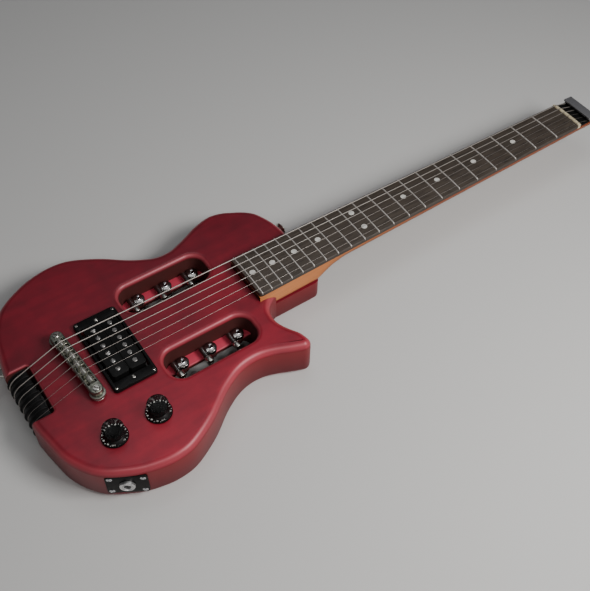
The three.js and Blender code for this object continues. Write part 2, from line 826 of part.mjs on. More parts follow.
function halfRound(radius, fromY, toY) {
  const arc = Array.from({ length: turnSteps + 1 }, (_, i) => {
    const angle = Math.PI / 2 + (Math.PI * i) / turnSteps;
    return [turnCentre.x + radius * Math.cos(angle), turnCentre.z + radius * Math.sin(angle)];
  });
  const flatX = turnCentre.x + turnBlockFlat;
  const section = [...arc, [flatX, turnCentre.z - radius], [flatX, turnCentre.z + radius]];
  return loft([fromY, toY].map((y) => section.map(([x, z]) => at(x, y, z))));
}

function turnBlock() {
  const half = notchHalfWidth - fitGap;
  const pitch = bridgeSpread / (stringNames.length - 1);
  const core = halfRound(turnRadius - fitGap, -half, half);
  const rib = (y) => halfRound(turnRadius + turnRibHeight, y, y + turnRibWidth);
  const outerRibs = [-half, half - turnRibWidth].map(rib);
  const innerRibs = stringNames.slice(1).map((_, i) => {
    const middle = bridgeSpread * stringShare(i) - pitch / 2;
    return rib(middle - turnRibWidth / 2);
  });
  return cut(join(core, ...outerRibs, ...innerRibs), acrossNotch(axleRadius + fitGap, half + overrun));
}
piece("string_turn_block", turnBlock(), blackPlastic);
piece("turn_axle", acrossNotch(axleRadius, notchHalfWidth + axleSeat), steel);

// Bridge, in its own askew frame

const saddlePitchY = (i) => (bridgeSpread * stringShare(i)) / Math.cos(bridgeAngle);
const saddleSetX = (i) => saddleSetShares[i] * ((slotWidth - saddleLength) / 2 - fitGap);

function bridgeBar() {
  const plan = roundedRectangle(bridgeWidth, 2 * bridgeHalfLength, bridgeWidth / 2 - fitGap);
  const slot = block(
    at(-slotWidth / 2, -slotHalfLength, slotFloor),
    at(slotWidth / 2, slotHalfLength, bridgeTop + overrun),
  );
  const holesForPosts = Object.values(postPlaces).map((y) =>
    bar(bridgePostRadius + fitGap, at(0, y, bridgeBottom - overrun), at(0, y, bridgeTop + overrun)),
  );
  const wall = (bridgeWidth - slotWidth) / 4 + slotWidth / 2;
  const headEnd = bridgeWidth / 2 + saddleScrewRadius;
  const screws = stringNames.map((_, i) => {
    const [tip, seat, end] = [wall, -wall, -headEnd].map((x) => at(x, saddlePitchY(i), saddleScrewHeight));
    return join(bar(saddleScrewRadius, tip, seat, tinySides), bar(saddleScrewHead, seat, end, tinySides));
  });
  return join(cut(prism(plan, bridgeBottom, bridgeTop), slot, ...holesForPosts), ...screws);
}
piece("bridge_bar", bridgeBar(), agedNickel, bridgeFrame);

function saddle(i) {
  const crest = saddleStringBottom(bridgeSpread * stringShare(i)) - fitGap;
  const [half, low] = [saddleLength / 2, slotFloor + fitGap];
  const profile = (y) => [
    at(-half, y, low),
    at(half, y, low),
    at(half, y, crest - saddleShoulder),
    at(saddleCrest / 2, y, crest),
    at(-saddleCrest / 2, y, crest),
    at(-half, y, crest - saddleShoulder),
  ];
  const made = loft([profile(saddleWidth / 2), profile(-saddleWidth / 2)]);
  const radius = saddleScrewRadius + fitGap;
  const [back, front] = [-saddleLength, saddleLength].map((x) => at(x, 0, saddleScrewHeight));
  return cut(made, bar(radius, back, front, tinySides));
}

stringNames.forEach((name, i) => {
  const mesh = piece(`saddle_${name}`, saddle(i), agedNickel, bridgeFrame);
  mesh.position.set(saddleSetX(i), saddlePitchY(i), 0);
});

const wheelTop = bridgeBottom - fitGap;
for (const [side, y] of Object.entries(postPlaces)) {
  const stand = placedGroup(0, y, 0, bridgeFrame);
  const wheelBottom = wheelTop - thumbwheelThickness;
  const bore = bridgePostRadius + fitGap;
  const wheel = turned([
    [bore, wheelBottom],
    [thumbwheelRadius, wheelBottom],
    [thumbwheelRadius, wheelTop],
    [bore, wheelTop],
  ]);
  piece(`thumbwheel_${side}`, wheel, agedNickel, stand);
  const post = bar(bridgePostRadius, at(0, 0, insertBottom + fitGap), at(0, 0, bridgePostTop));
  piece(`bridge_post_${side}`, post, agedNickel, stand);
  const flangeBottom = bodyThickness + fitGap;
  const insert = turned([
    [bore, insertBottom],
    [insertRadius, insertBottom],
    [insertRadius, flangeBottom],
    [insertFlangeRadius, flangeBottom],
    [insertFlangeRadius, flangeBottom + insertFlange],
    [bore, flangeBottom + insertFlange],
  ], smallSides);
  piece(`bridge_insert_${side}`, insert, agedNickel, stand);
}

// Pickup: the ring stands on the body, and the baseplate hangs from its two height screws

const ringBottom = bodyThickness + fitGap;
const ringTop = ringBottom + ringHeight;
const plateTop = bobbinBottom - fitGap;
const pickupFrame = placedGroup(pickupCentre, 0, 0);

function pickupRing() {
  const plan = roundedRectangle(ringWidth, ringLength, ringCornerRadius);
  plan.holes.push(roundedRectangle(windowWidth, windowLength, ringCornerRadius / 2));
  const tail = plateTop - baseplateThickness - heightScrewTail;
  const [headSeat, headTop] = [ringTop - ringHeight / 2, ringTop + heightScrewHeadRise];
  const screws = [-1, 1].map((side) => {
    const y = (side * heightScrewSpacing) / 2;
    const shank = bar(heightScrewRadius, at(0, y, tail), at(0, y, ringTop), tinySides);
    return join(shank, bar(heightScrewHead, at(0, y, headSeat), at(0, y, headTop), tinySides));
  });
  return join(prism(plan, ringBottom, ringTop), ...screws);
}
piece("pickup_ring", pickupRing(), blackPlastic, pickupFrame);

function pickupBaseplate() {
  const bottom = plateTop - baseplateThickness;
  const plate = block(
    at(-baseplateWidth / 2, -baseplateLength / 2, bottom),
    at(baseplateWidth / 2, baseplateLength / 2, plateTop),
  );
  const reach = heightScrewSpacing / 2 + earLength / 2;
  const ears = block(at(-earWidth / 2, -reach, bottom), at(earWidth / 2, reach, plateTop));
  const bores = [-1, 1].map((side) => {
    const place = (z) => at(0, (side * heightScrewSpacing) / 2, z);
    return bar(heightScrewRadius + fitGap, place(bottom - overrun), place(plateTop + overrun), tinySides);
  });
  return cut(join(plate, ears), ...bores);
}
piece("pickup_baseplate", pickupBaseplate(), agedNickel, pickupFrame);

function bobbin() {
  const width = poleRowSpacing - fitGap;
  const plan = roundedRectangle(width, bobbinLength, bobbinCornerRadius);
  const poles = stringNames.map((_, i) => {
    const y = poleSpread * stringShare(i);
    return bar(poleRadius, at(0, y, bobbinTop - overrun), at(0, y, bobbinTop + poleRise), tinySides);
  });
  return join(prism(plan, bobbinBottom, bobbinTop), ...poles);
}
for (const [name, side] of [["bridge", -1], ["neck", 1]]) {
  const mesh = piece(`pickup_bobbin_${name}`, bobbin(), blackPlastic, pickupFrame);
  mesh.position.x = (side * poleRowSpacing) / 2;
}

// Controls: knob, shaft and potentiometer for volume and tone

function knob() {
  const foot = bodyThickness + knobLift;
  const top = foot + knobHeight;
  const boreTop = bodyThickness + potShaftRise + fitGap;
  const bore = potShaftRadius + fitGap;
  return turned([
    [0, boreTop],
    [bore, boreTop],
    [bore, foot + knobHollowDepth],
    [knobHollowRadius, foot + knobHollowDepth],
    [knobHollowRadius, foot],
    [knobSkirtRadius, foot],
    [knobSkirtRadius, foot + knobSkirtHeight / 2],
    [knobNeckRadius, foot + knobSkirtHeight + knobEdge],
    [knobTopRadius, top - knobEdge],
    [knobTopRadius - knobEdge, top],
    [0, top],
  ]);
}

function potentiometer() {
  const caseTop = controlFloor - fitGap;
  const bushingTop = bodyThickness + potBushingRise;
  const seat = bodyThickness - potShaftSeat - fitGap;
  return turned([
    [0, caseTop - potCaseHeight],
    [potCaseRadius, caseTop - potCaseHeight],
    [potCaseRadius, caseTop],
    [potBushingRadius, caseTop],
    [potBushingRadius, bushingTop],
    [potBushingBore, bushingTop],
    [potBushingBore, seat],
    [0, seat],
  ], smallSides);
}

for (const [name, x] of Object.entries(knobPlaces)) {
  const stack = placedGroup(x, knobY, 0);
  piece(`${name}_knob`, knob(), blackPlastic, stack);
  piece(`${name}_potentiometer`, potentiometer(), agedNickel, stack);
  const [low, high] = [bodyThickness - potShaftSeat, bodyThickness + potShaftRise];
  piece(`${name}_shaft`, bar(potShaftRadius, at(0, 0, low), at(0, 0, high)), steel, stack);
}
piece("control_cover", prism(coverPlan(0), fitGap, fitGap + coverThickness), blackPlastic);

// Jack plate and socket, in the frame of the side wall

function jackPlate() {
  const plan = roundedRectangle(jackPlateLength, jackPlateHeight, jackPlateCorner);
  const plate = prism(plan, jackSeat, jackSeat + jackPlateThickness);
  const [under, over] = [jackSeat - overrun, jackSeat + overrun].map((z) => at(0, 0, z));
  return cut(plate, bar(jackBarrelRadius + fitGap, under, over));
}

function jackSocket() {
  const face = jackSeat + jackPlateThickness;
  const rim = face + fitGap;
  const end = face - jackBarrelLength;
  return turned([
    [0, end],
    [jackBarrelRadius, end],
    [jackBarrelRadius, rim],
    [jackRingRadius, rim],
    [jackRingRadius, rim + jackRingThickness],
    [jackBoreRadius, rim + jackRingThickness],
    [jackBoreRadius, end + overrun],
    [0, end + overrun],
  ], smallSides);
}
piece("jack_plate", jackPlate(), blackMetal, jackFrame);
piece("jack_socket", jackSocket(), chrome, jackFrame);

// Strap buttons, each with its screw in the wood

function strapButton() {
  const neck = strapHeight / 2;
  return turned([
    [0, -strapScrewLength],
    [strapScrewRadius, -strapScrewLength],
    [strapScrewRadius, fitGap],
    [strapFootRadius, fitGap],
    [strapNeckRadius, neck],
    [strapHeadRadius, strapHeight - strapRim],
    [strapHeadRadius, strapHeight - strapRim / 2],
    [strapNeckRadius, strapHeight],
    [0, strapHeight],
  ], smallSides);
}
piece("strap_button_butt", strapButton(), chrome, buttStrapFrame);
piece("strap_button_shoulder", strapButton(), chrome, shoulderStrapFrame);

// Tuners: each stands on its ledge, with the post's axis as its own z axis

function tunerHousing() {
  const under = -ledgeThickness - fitGap;
  const drum = turned([
    [0, fitGap],
    [drumRadius, fitGap],
    [drumRadius, drumHeight - drumChamfer],
    [drumRadius - drumChamfer, drumHeight],
    [capRadius, drumHeight],
    [capRadius, drumHeight + capHeight],
    [0, drumHeight + capHeight],
  ], smallSides);
  const barrelEnd = tunerWallOffset - ledgeWidth - barrelReach;
  const barrel = bar(
    barrelRadius,
    at(-wormOffset, drumRadius / 2, wormHeight),
    at(-wormOffset, barrelEnd, wormHeight),
    smallSides,
  );
  const bushing = bar(bushingRadius, at(0, 0, under - tunerNutHeight), at(0, 0, fitGap + wormHeight / 2));
  const hexNut = bar(tunerNutRadius, at(0, 0, under - tunerNutHeight), at(0, 0, under), hexSides);
  const shaftBore = bar(
    shaftRadius + shaftClearance,
    at(-wormOffset, barrelEnd + shaftSeat + fitGap, wormHeight),
    at(-wormOffset, barrelEnd - overrun, wormHeight),
    tinySides,
  );
  const postBore = bar(bushingBore, at(0, 0, under - tunerNutHeight - overrun), at(0, 0, postHead + fitGap));
  return cut(join(drum, barrel, bushing, hexNut), postBore, shaftBore);
}

function tunerPost() {
  const tip = postTip - ledgeHeight;
  const line = turnCentreHeight - turnRadius - ledgeHeight; // height of the string on the post
  const waist = postRadius / 2;
  return turned([
    [0, tip],
    [postRadius, tip],
    [postRadius, line - 2 * waist],
    [postWaist, line - waist],
    [postWaist, line + waist],
    [postRadius, line + 2 * waist],
    [postRadius, postHead],
    [0, postHead],
  ], smallSides);
}

function tunerButton() {
  const barrelEnd = tunerWallOffset - ledgeWidth - barrelReach;
  const from = barrelEnd - buttonGap;
  const oval = (grow, y) =>
    Array.from({ length: smallSides }, (_, s) => {
      const angle = (2 * Math.PI * s) / smallSides;
      const [across, up] = [buttonHalfThickness - grow, buttonHalfWidth - grow];
      return at(-wormOffset + across * Math.cos(angle), y, wormHeight + up * Math.sin(angle));
    });
  const grip = loft([
    oval(buttonEdge, from),
    oval(0, from - buttonEdge),
    oval(0, from - buttonLength + buttonEdge),
    oval(buttonEdge, from - buttonLength),
  ]);
  const shaft = bar(
    shaftRadius,
    at(-wormOffset, barrelEnd + shaftSeat, wormHeight),
    at(-wormOffset, from - buttonLength / 2, wormHeight),
    tinySides,
  );
  return join(grip, shaft);
}

const tunerPlaces = {};
for (const { middle, wall, strings } of Object.values(holes)) {
  strings.forEach((string, order) => {
    const name = stringNames[string];
    const place = at(middle + (order - 1) * tunerPitch, wall - tunerWallOffset, ledgeHeight);
    const tuner = placedGroup(place.x, place.y, place.z);
    tunerPlaces[name] = { place, inward: wall > 0 ? -1 : 1 };
    piece(`tuner_housing_${name}`, tunerHousing(), chrome, tuner);
    piece(`tuner_post_${name}`, tunerPost(), chrome, tuner);
    piece(`tuner_button_${name}`, tunerButton(), chrome, tuner);
  });
}

// Strings: anchor, nut, saddle, round the turn block, and along the back to the post

function stringRoute(i) {
  const radius = stringRadiusOf[stringNames[i]];
  const [nutY, bridgeY] = [nutSpread * stringShare(i), bridgeSpread * stringShare(i)];
  const lift = fitGap + radius;
  const stringTop = anchorEntry + 2 * radius - anchorBottom;
  const leaned = (anchorOverhang * stringTop) / (anchorBarHeight - anchorEdge);
  const start = at(anchorFace - leaned - fitGap, nutY, anchorEntry + radius);
  const overNut = at(scaleLength + fretHeight, nutY, nutStringBottom(nutY) + radius);
  const crest = at(saddleSetX(i), saddlePitchY(i), 0).applyMatrix4(bridgeFrame.matrix);
  const overSaddle = at(crest.x - stringBreakSetback, bridgeY, saddleStringBottom(bridgeY) + radius);
  const turn = turnRadius + lift - fitGap;
  const [toX, toZ] = [overSaddle.x - turnCentre.x, overSaddle.z - turnCentre.z];
  const first = Math.atan2(toZ, toX) + Math.acos(turn / Math.hypot(toX, toZ));
  const last = (3 * Math.PI) / 2;
  const round = Array.from({ length: turnSteps + 1 }, (_, s) => {
    const angle = first + ((last - first) * s) / turnSteps;
    return at(turnCentre.x + turn * Math.cos(angle), bridgeY, turnCentre.z + turn * Math.sin(angle));
  });
  const { place, inward } = tunerPlaces[stringNames[i]];
  const end = at(place.x, place.y + inward * (postRadius + lift), turnCentre.z - turn);
  return [start, overNut, overSaddle, ...round, end];
}

function string(i) {
  const route = stringRoute(i);
  const rings = route.map((here, n) => {
    const back = here.clone().sub(route[Math.max(n - 1, 0)]).normalize();
    const ahead = route[Math.min(n + 1, route.length - 1)].clone().sub(here).normalize();
    const along = back.add(ahead).normalize();
    const side = at(0, 1, 0).cross(along).normalize();
    const other = along.clone().cross(side);
    return Array.from({ length: stringSides }, (_, s) => {
      const angle = (2 * Math.PI * s) / stringSides;
      const out = side.clone().multiplyScalar(Math.cos(angle)).addScaledVector(other, Math.sin(angle));
      return here.clone().addScaledVector(out, stringRadiusOf[stringNames[i]]);
    });
  });
  return loft(rings);
}
stringNames.forEach((name, i) => piece(`string_${name}`, string(i), steel));

export default guitar;
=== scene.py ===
# %% [markdown]
# # A headless travel guitar, dressed piece by piece
#
# The guitar lies on its back. Its construction comes packed, at real size, and this lesson gives it
# its fine shapes and its finishes. Everything is worked out in millimetres, in the guitar's own frame:
# x runs along the strings to the head, y points to the bass side, and z points up from the back.
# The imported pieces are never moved: each new piece takes its place and size from the box of the one
# that it stands for.

import json
import math

import bmesh
import bpy
import numpy as np
from mathutils import Matrix, Vector

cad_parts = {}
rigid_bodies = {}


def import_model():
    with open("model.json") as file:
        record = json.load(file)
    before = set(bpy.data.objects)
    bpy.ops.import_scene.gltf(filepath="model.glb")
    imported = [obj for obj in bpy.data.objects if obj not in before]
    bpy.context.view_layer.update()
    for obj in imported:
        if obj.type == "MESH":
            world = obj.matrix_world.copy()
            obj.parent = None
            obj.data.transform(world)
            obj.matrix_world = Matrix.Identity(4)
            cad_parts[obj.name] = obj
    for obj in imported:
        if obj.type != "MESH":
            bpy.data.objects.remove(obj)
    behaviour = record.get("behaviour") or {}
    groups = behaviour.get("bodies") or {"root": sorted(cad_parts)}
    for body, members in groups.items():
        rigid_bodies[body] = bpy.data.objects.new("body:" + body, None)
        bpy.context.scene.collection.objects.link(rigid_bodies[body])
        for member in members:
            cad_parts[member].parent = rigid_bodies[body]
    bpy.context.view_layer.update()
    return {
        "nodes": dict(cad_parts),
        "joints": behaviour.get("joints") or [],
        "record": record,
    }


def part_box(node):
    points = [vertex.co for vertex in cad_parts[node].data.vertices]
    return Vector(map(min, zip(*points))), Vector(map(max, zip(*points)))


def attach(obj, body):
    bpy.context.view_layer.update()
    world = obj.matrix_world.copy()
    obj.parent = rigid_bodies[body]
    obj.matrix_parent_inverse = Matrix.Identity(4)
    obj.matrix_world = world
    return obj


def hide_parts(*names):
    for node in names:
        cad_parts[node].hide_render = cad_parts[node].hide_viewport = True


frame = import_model()
MM = 0.001


def box_mm(node):
    """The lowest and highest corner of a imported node, in millimetres."""
    low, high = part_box(node)
    return np.array(low) / MM, np.array(high) / MM


body_low, body_high = box_mm("body")
print("body, mm:", np.round(body_low, 1), np.round(body_high, 1))

# %% [markdown]
# ## The camera
#
# The photograph was taken from above the treble side, with the body close and the head far away.
# The places of the frets in it give the camera: their spacing is known exactly, so one camera fits
# them all. Its place and its three axes are written here as that fit gave them.


# %% Stand the camera where the photograph was taken
def new_object(name, data):
    """Makes an object and puts it in the scene."""
    thing = bpy.data.objects.new(name, data)
    bpy.context.scene.collection.objects.link(thing)
    return thing


camera_right = Vector((0.82634, -0.56293, 0.01668))
camera_up = Vector((0.43325, 0.65435, 0.61978))
camera_back = Vector((-0.35980, -0.50492, 0.78460))
camera_place = Vector((-0.10473, -0.49118, 0.74481))
focal_pixels, frame_pixels = 896.1, 591

camera = new_object("camera", bpy.data.cameras.new("camera"))
turn = Matrix((camera_right, camera_up, camera_back)).transposed()
camera.matrix_world = Matrix.Translation(camera_place) @ turn.to_4x4()
camera.data.sensor_width = 36
camera.data.lens = camera.data.sensor_width * focal_pixels / frame_pixels
camera.data.clip_start = 0.01
bpy.context.scene.camera = camera
print("lens, mm:", round(camera.data.lens, 2))

# %% [markdown]
# ## Floor and light
#
# The studio is plain: a pale floor and soft light. One softbox stands low on the treble side and draws
# the bright line along the near edge of the body. A long narrow one lights the near side from the
# front, and two weak ones hang above. The world itself is a dim grey, so that polished metal has
# something dark to mirror as well.


# %% Hang the softboxes
def softbox(name, place, target, size, watts, tint=(1, 1, 1)):
    light = bpy.data.lights.new(name, "AREA")
    light.shape = "RECTANGLE"
    light.size, light.size_y = size
    light.energy = watts
    light.color = tint
    lamp = new_object(name, light)
    lamp.location = place
    lamp.rotation_euler = (Vector(target) - Vector(place)).to_track_quat("-Z", "Y").to_euler()


guitar_middle = (0.12, 0, 0.03)
softbox("softbox_treble", (0.55, -0.64, 0.76), (0.15, -0.1, 0.04), (0.46, 0.3), 10, (1, 0.98, 0.96))
softbox("softbox_front", (-0.2, -0.8, 1.05), (0, -0.1, 0.04), (0.7, 0.14), 3.2, (1, 0.97, 0.95))
softbox("softbox_top", (-0.3, 0.1, 1.8), guitar_middle, (1.2, 0.6), 1.2)
softbox("softbox_over", (0.38, 0.36, 1.3), guitar_middle, (0.7, 0.5), 2.1, (0.97, 0.98, 1))


# %% Lay the floor under a dim sky
def feed(tree, inputs, sockets):
    """Gives each socket a value or another node's output. A colour needs no alpha, a grey one number."""
    for key, value in sockets.items():
        socket = inputs[key.replace("_", " ") if isinstance(key, str) else key]
        if isinstance(value, bpy.types.NodeSocket):
            tree.links.new(value, socket)
        elif socket.type == "RGBA":
            socket.default_value = (*(value if isinstance(value, tuple) else 3 * (value,)), 1)
        else:
            socket.default_value = value


world = bpy.data.worlds.new("studio")
bpy.context.scene.world = world
world.use_nodes = True
sky = world.node_tree.nodes["Background"].inputs
feed(world.node_tree, sky, {"Color": (0.42, 0.43, 0.46), "Strength": 0.2})

floor_half, floor_drop = 4, 0.0004
floor_mesh = bpy.data.meshes.new("floor")
corners = [(-1, -1), (1, -1), (1, 1), (-1, 1)]
floor_mesh.from_pydata([(x * floor_half, y * floor_half, -floor_drop) for x, y in corners], [], [range(4)])
floor = new_object("floor", floor_mesh)
paper = bpy.data.materials.new("floor_paper")
paper.use_nodes = True
matt = paper.node_tree.nodes["Principled BSDF"].inputs
feed(paper.node_tree, matt, {"Base Color": (0.54, 0.54, 0.53), "Roughness": 0.9})
floor_mesh.materials.append(paper)
print("floor:", 2 * floor_half, "m wide")

# %% [markdown]
# ## Shapes from rings and profiles
#
# Nearly every piece of a guitar is sawn from an outline, turned on a lathe, or swept along a line.
# So a shape here is a pair, points and faces, and a few helpers make such pairs: `loft` joins rings
# of points, `lathe` turns a profile round z, `prism` gives an outline a thickness, with rounded edges
# where it asks for them, and `carve` cuts closed shapes out of another.
# Modelling by formula keeps every size exact, and any of them can be changed later.


# %% Rings and lofts
def loft(rings, capped=True):
    """Joins rings with equal numbers of points. Rings run anticlockwise when seen from the last ring."""
    points = np.concatenate([np.asarray(r, float) for r in rings])
    sides = len(rings[0])
    faces = []
    for r in range(len(rings) - 1):
        for s in range(sides):
            a, b = r * sides + s, r * sides + (s + 1) % sides
            faces.append((a, b, b + sides, a + sides))
    if capped:
        last = (len(rings) - 1) * sides
        faces.append(tuple(reversed(range(sides))))
        faces.append(tuple(range(last, last + sides)))
    return points, faces


def circle(radius, sides, z=0.0):
    angle = np.arange(sides) * 2 * math.pi / sides
    return np.stack([radius * np.cos(angle), radius * np.sin(angle), np.full(sides, z)], 1)


def lathe(profile, sides=48):
    """Turns (radius, height) pairs, listed from the axis below to the axis above, round z."""
    return loft([circle(max(radius, 0.02), sides, z) for radius, z in profile])


def tubular(profile, sides):
    """Turns a closed profile, which comes back to its first pair, round z."""
    return loft([circle(max(radius, 0.02), sides, z) for radius, z in profile], capped=False)


def at_height(outline, z):
    return np.column_stack([outline, np.full(len(outline), z)])


def grown(outline, amount):
    """An outline whose points all step outward by the same amount."""
    ahead = np.roll(outline, -1, 0) - outline
    ahead /= np.linalg.norm(ahead, axis=1)[:, None]
    normal = np.stack([ahead[:, 1], -ahead[:, 0]], 1)
    both = normal + np.roll(normal, 1, 0)
    both /= (both * both).sum(1)[:, None] / 2
    return outline + both * amount


print("a loft of two squares has", len(loft([circle(1, 4), circle(1, 4, 1)])[1]), "faces")


# %% Outlines with a thickness, bars and blocks
def rounded(length, width, radius, steps=8, middle=(0, 0)):
    """A rectangle with round corners, anticlockwise."""
    points = []
    for quarter, (sx, sy) in enumerate([(1, 1), (-1, 1), (-1, -1), (1, -1)]):
        for step in range(steps + 1):
            angle = (quarter + step / steps) * math.pi / 2
            x = sx * (length / 2 - radius) + radius * math.cos(angle)
            y = sy * (width / 2 - radius) + radius * math.sin(angle)
            points.append((x + middle[0], y + middle[1]))
    return np.array(points)


def prism(outline, bottom, top, top_edge=0.0, bottom_edge=0.0, steps=4):
    """Gives an outline a thickness. Each edge can be rounded over with a radius of its own."""
    turns = [step / steps * math.pi / 2 for step in range(steps + 1)]
    rings = [] if bottom_edge else [at_height(outline, bottom)]
    for turn in turns if bottom_edge else ():
        inset = bottom_edge * (1 - math.sin(turn))
        rings.append(at_height(grown(outline, -inset), bottom + bottom_edge * (1 - math.cos(turn))))
    for turn in turns if top_edge else ():
        inset = top_edge * (1 - math.cos(turn))
        rings.append(at_height(grown(outline, -inset), top - top_edge * (1 - math.sin(turn))))
    return loft(rings if top_edge else [*rings, at_height(outline, top)])


def merge(*shapes):
    points, faces, count = [], [], 0
    for some_points, some_faces in shapes:
        points.append(some_points)
        faces += [tuple(i + count for i in face) for face in some_faces]
        count += len(some_points)
    return np.concatenate(points), faces


def moved(shape, matrix):
    points, faces = shape
    matrix = np.array(matrix)
    return points @ matrix[:3, :3].T + matrix[:3, 3], faces


def at(x, y, z):
    return Matrix.Translation((x, y, z))


def turned(degrees, axis="Z"):
    return Matrix.Rotation(math.radians(degrees), 4, axis)


def bar(radius, start, end, sides=24):
    """A round bar between two points."""
    along = Vector(end) - Vector(start)
    shape = loft([circle(radius, sides, z) for z in (0, along.length)])
    return moved(shape, at(*start) @ along.to_track_quat("Z", "Y").to_matrix().to_4x4())


def bore(radius, place, bottom, top, sides=24):
    """An upright bar, which cuts a round hole."""
    return bar(radius, (*place, bottom), (*place, top), sides)


def block(low, high):
    (x0, y0, z0), (x1, y1, z1) = low, high
    plan = [(x0, y0), (x1, y0), (x1, y1), (x0, y1)]
    return loft([[(x, y, z) for x, y in plan] for z in (z0, z1)])


print("a rounded rectangle has", len(rounded(4, 2, 0.5)), "points")


# %% [markdown]
# ## Cutting and finishing a shape
#
# A boolean cut needs Blender objects, so `carve` makes them for a moment and reads the result back.
# `new_piece` turns a shape into an object of the guitar: it gives it a material, smooths the shading
# across shallow angles only, lets it ride on its body, and hides the imported node that it stands for.


# %% Carve and soften shapes
def temporary(shape):
    points, faces = shape
    mesh = bpy.data.meshes.new("working")
    mesh.from_pydata([tuple(p) for p in points], [], faces)
    mesh.validate()
    return new_object("working", mesh)


def read_back(thing):
    depsgraph = bpy.context.evaluated_depsgraph_get()
    mesh = thing.evaluated_get(depsgraph).to_mesh()
    points = np.array([v.co for v in mesh.vertices], float)
    return points, [tuple(p.vertices) for p in mesh.polygons]


def boolean(shape, others, operation):
    things = [temporary(s) for s in (shape, *others)]
    for other in things[1:]:
        step = things[0].modifiers.new("step", "BOOLEAN")
        step.operation, step.solver, step.object = operation, "MANIFOLD", other
    made = read_back(things[0])
    for thing in things:
        bpy.data.objects.remove(thing)
    return made


def carve(shape, *cutters):
    return boolean(shape, cutters, "DIFFERENCE")


def softened(shape, width, steps=2, angle=40):
    """Rounds over every edge sharper than the angle."""
    points, faces = shape
    mesh = bmesh.new()
    corners = [mesh.verts.new(p) for p in points]
    for face in faces:
        mesh.faces.new([corners[i] for i in face])
    bmesh.ops.recalc_face_normals(mesh, faces=mesh.faces)
    sharp = [e for e in mesh.edges if len(e.link_faces) == 2 and e.calc_face_angle(0) > math.radians(angle)]
    bmesh.ops.bevel(
        mesh, geom=sharp, offset=width, segments=steps, profile=0.5, affect="EDGES", clamp_overlap=True
    )
    mesh.verts.index_update()
    made = np.array([v.co for v in mesh.verts]), [tuple(v.index for v in f.verts) for f in mesh.faces]
    mesh.free()
    return made


print("a softened block has", len(softened(block((0, 0, 0), (1, 1, 1)), 0.1)[1]), "faces")


# %% Hand a piece over
def new_piece(name, shape, material, body="guitar", stands_for=None, smooth=35, weighted=False):
    """Makes an object of the guitar from a shape in millimetres."""
    points, faces = shape
    mesh = bpy.data.meshes.new(name)
    mesh.from_pydata([tuple(p) for p in np.asarray(points) * MM], [], faces)
    mesh.validate()
    fixer = bmesh.new()
    fixer.from_mesh(mesh)
    bmesh.ops.remove_doubles(fixer, verts=fixer.verts, dist=0.002 * MM)
    bmesh.ops.recalc_face_normals(fixer, faces=fixer.faces)
    fixer.to_mesh(mesh)
    fixer.free()
    mesh.shade_smooth()
    mesh.set_sharp_from_angle(angle=math.radians(smooth))
    mesh.materials.append(material)
    piece = new_object(name, mesh)
    if weighted:
        weigh = piece.modifiers.new("even shading", "WEIGHTED_NORMAL")
        weigh.keep_sharp = True
        weigh.weight = 100
    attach(piece, body)
    if stands_for:
        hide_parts(stands_for)
    return piece


# %% [markdown]
# ## Effects that several finishes share
#
# Four small node groups do the work that repeats. *Mottle* gives soft clouds between two colours,
# *grain* gives long fibres and short dark pores along x, *grime* finds the places where dirt stays and
# where edges are rubbed bright, and *scuffs* gives the roughness of a surface that has been handled.
# Each material places them with its own scale and strength.


# %% Helpers that wire nodes
def wire(tree, kind, sockets=None, **settings):
    """Adds a shader node and hands back its outputs."""
    node = tree.nodes.new(kind)
    for key, value in settings.items():
        setattr(node, key, value)
    feed(tree, node.inputs, sockets or {})
    return node.outputs


def compute(tree, operation, *values, **settings):
    return wire(tree, "ShaderNodeMath", dict(enumerate(values)), operation=operation, **settings)[0]


def remap(tree, value, start, end, low=0.0, high=1.0):
    """Maps the range from start to end onto the range from low to high, and holds it there."""
    sockets = {"Value": value, "From Min": start, "From Max": end, "To Min": low, "To Max": high}
    return wire(tree, "ShaderNodeMapRange", sockets)[0]


def noise(tree, place, scale, detail, **more):
    return wire(tree, "ShaderNodeTexNoise", {"Vector": place, "Scale": scale, "Detail": detail, **more})[0]


def blend(tree, share, first, second, mode="MIX"):
    sockets = {0: share, 6: first, 7: second}
    return wire(tree, "ShaderNodeMix", sockets, data_type="RGBA", blend_type=mode)[2]


def new_group(name, inputs, outputs):
    group = bpy.data.node_groups.new(name, "ShaderNodeTree")
    for side, sockets in (("INPUT", inputs), ("OUTPUT", outputs)):
        for label, kind, *value in sockets:
            socket = group.interface.new_socket(label, in_out=side, socket_type=kind)
            if value:
                socket.default_value = value[0]
    return group, group.nodes.new("NodeGroupInput").outputs, group.nodes.new("NodeGroupOutput").inputs


NUMBER, COLOUR, DIRECTION = "NodeSocketFloat", "NodeSocketColor", "NodeSocketVector"
PLACE = ("Place", DIRECTION)
print("each group starts with", PLACE)

# %% Mottle and grain
mottle, given, result = new_group(
    "mottle",
    [PLACE, ("Scale", NUMBER, 20), ("Contrast", NUMBER, 1), ("Dark", COLOUR), ("Light", COLOUR)],
    [("Color", COLOUR), ("Amount", NUMBER)],
)
broad = noise(mottle, given["Place"], given["Scale"], 5)
small = noise(mottle, given["Place"], compute(mottle, "MULTIPLY", given["Scale"], 6.0), 3)
both = wire(mottle, "ShaderNodeMix", {0: 0.3, 2: broad, 3: small}, data_type="FLOAT")[0]
spread = compute(mottle, "MULTIPLY", compute(mottle, "SUBTRACT", both, 0.5), given["Contrast"])
share = compute(mottle, "ADD", spread, 0.5, use_clamp=True)
feed(mottle, result, {"Color": blend(mottle, share, given["Dark"], given["Light"]), "Amount": share})

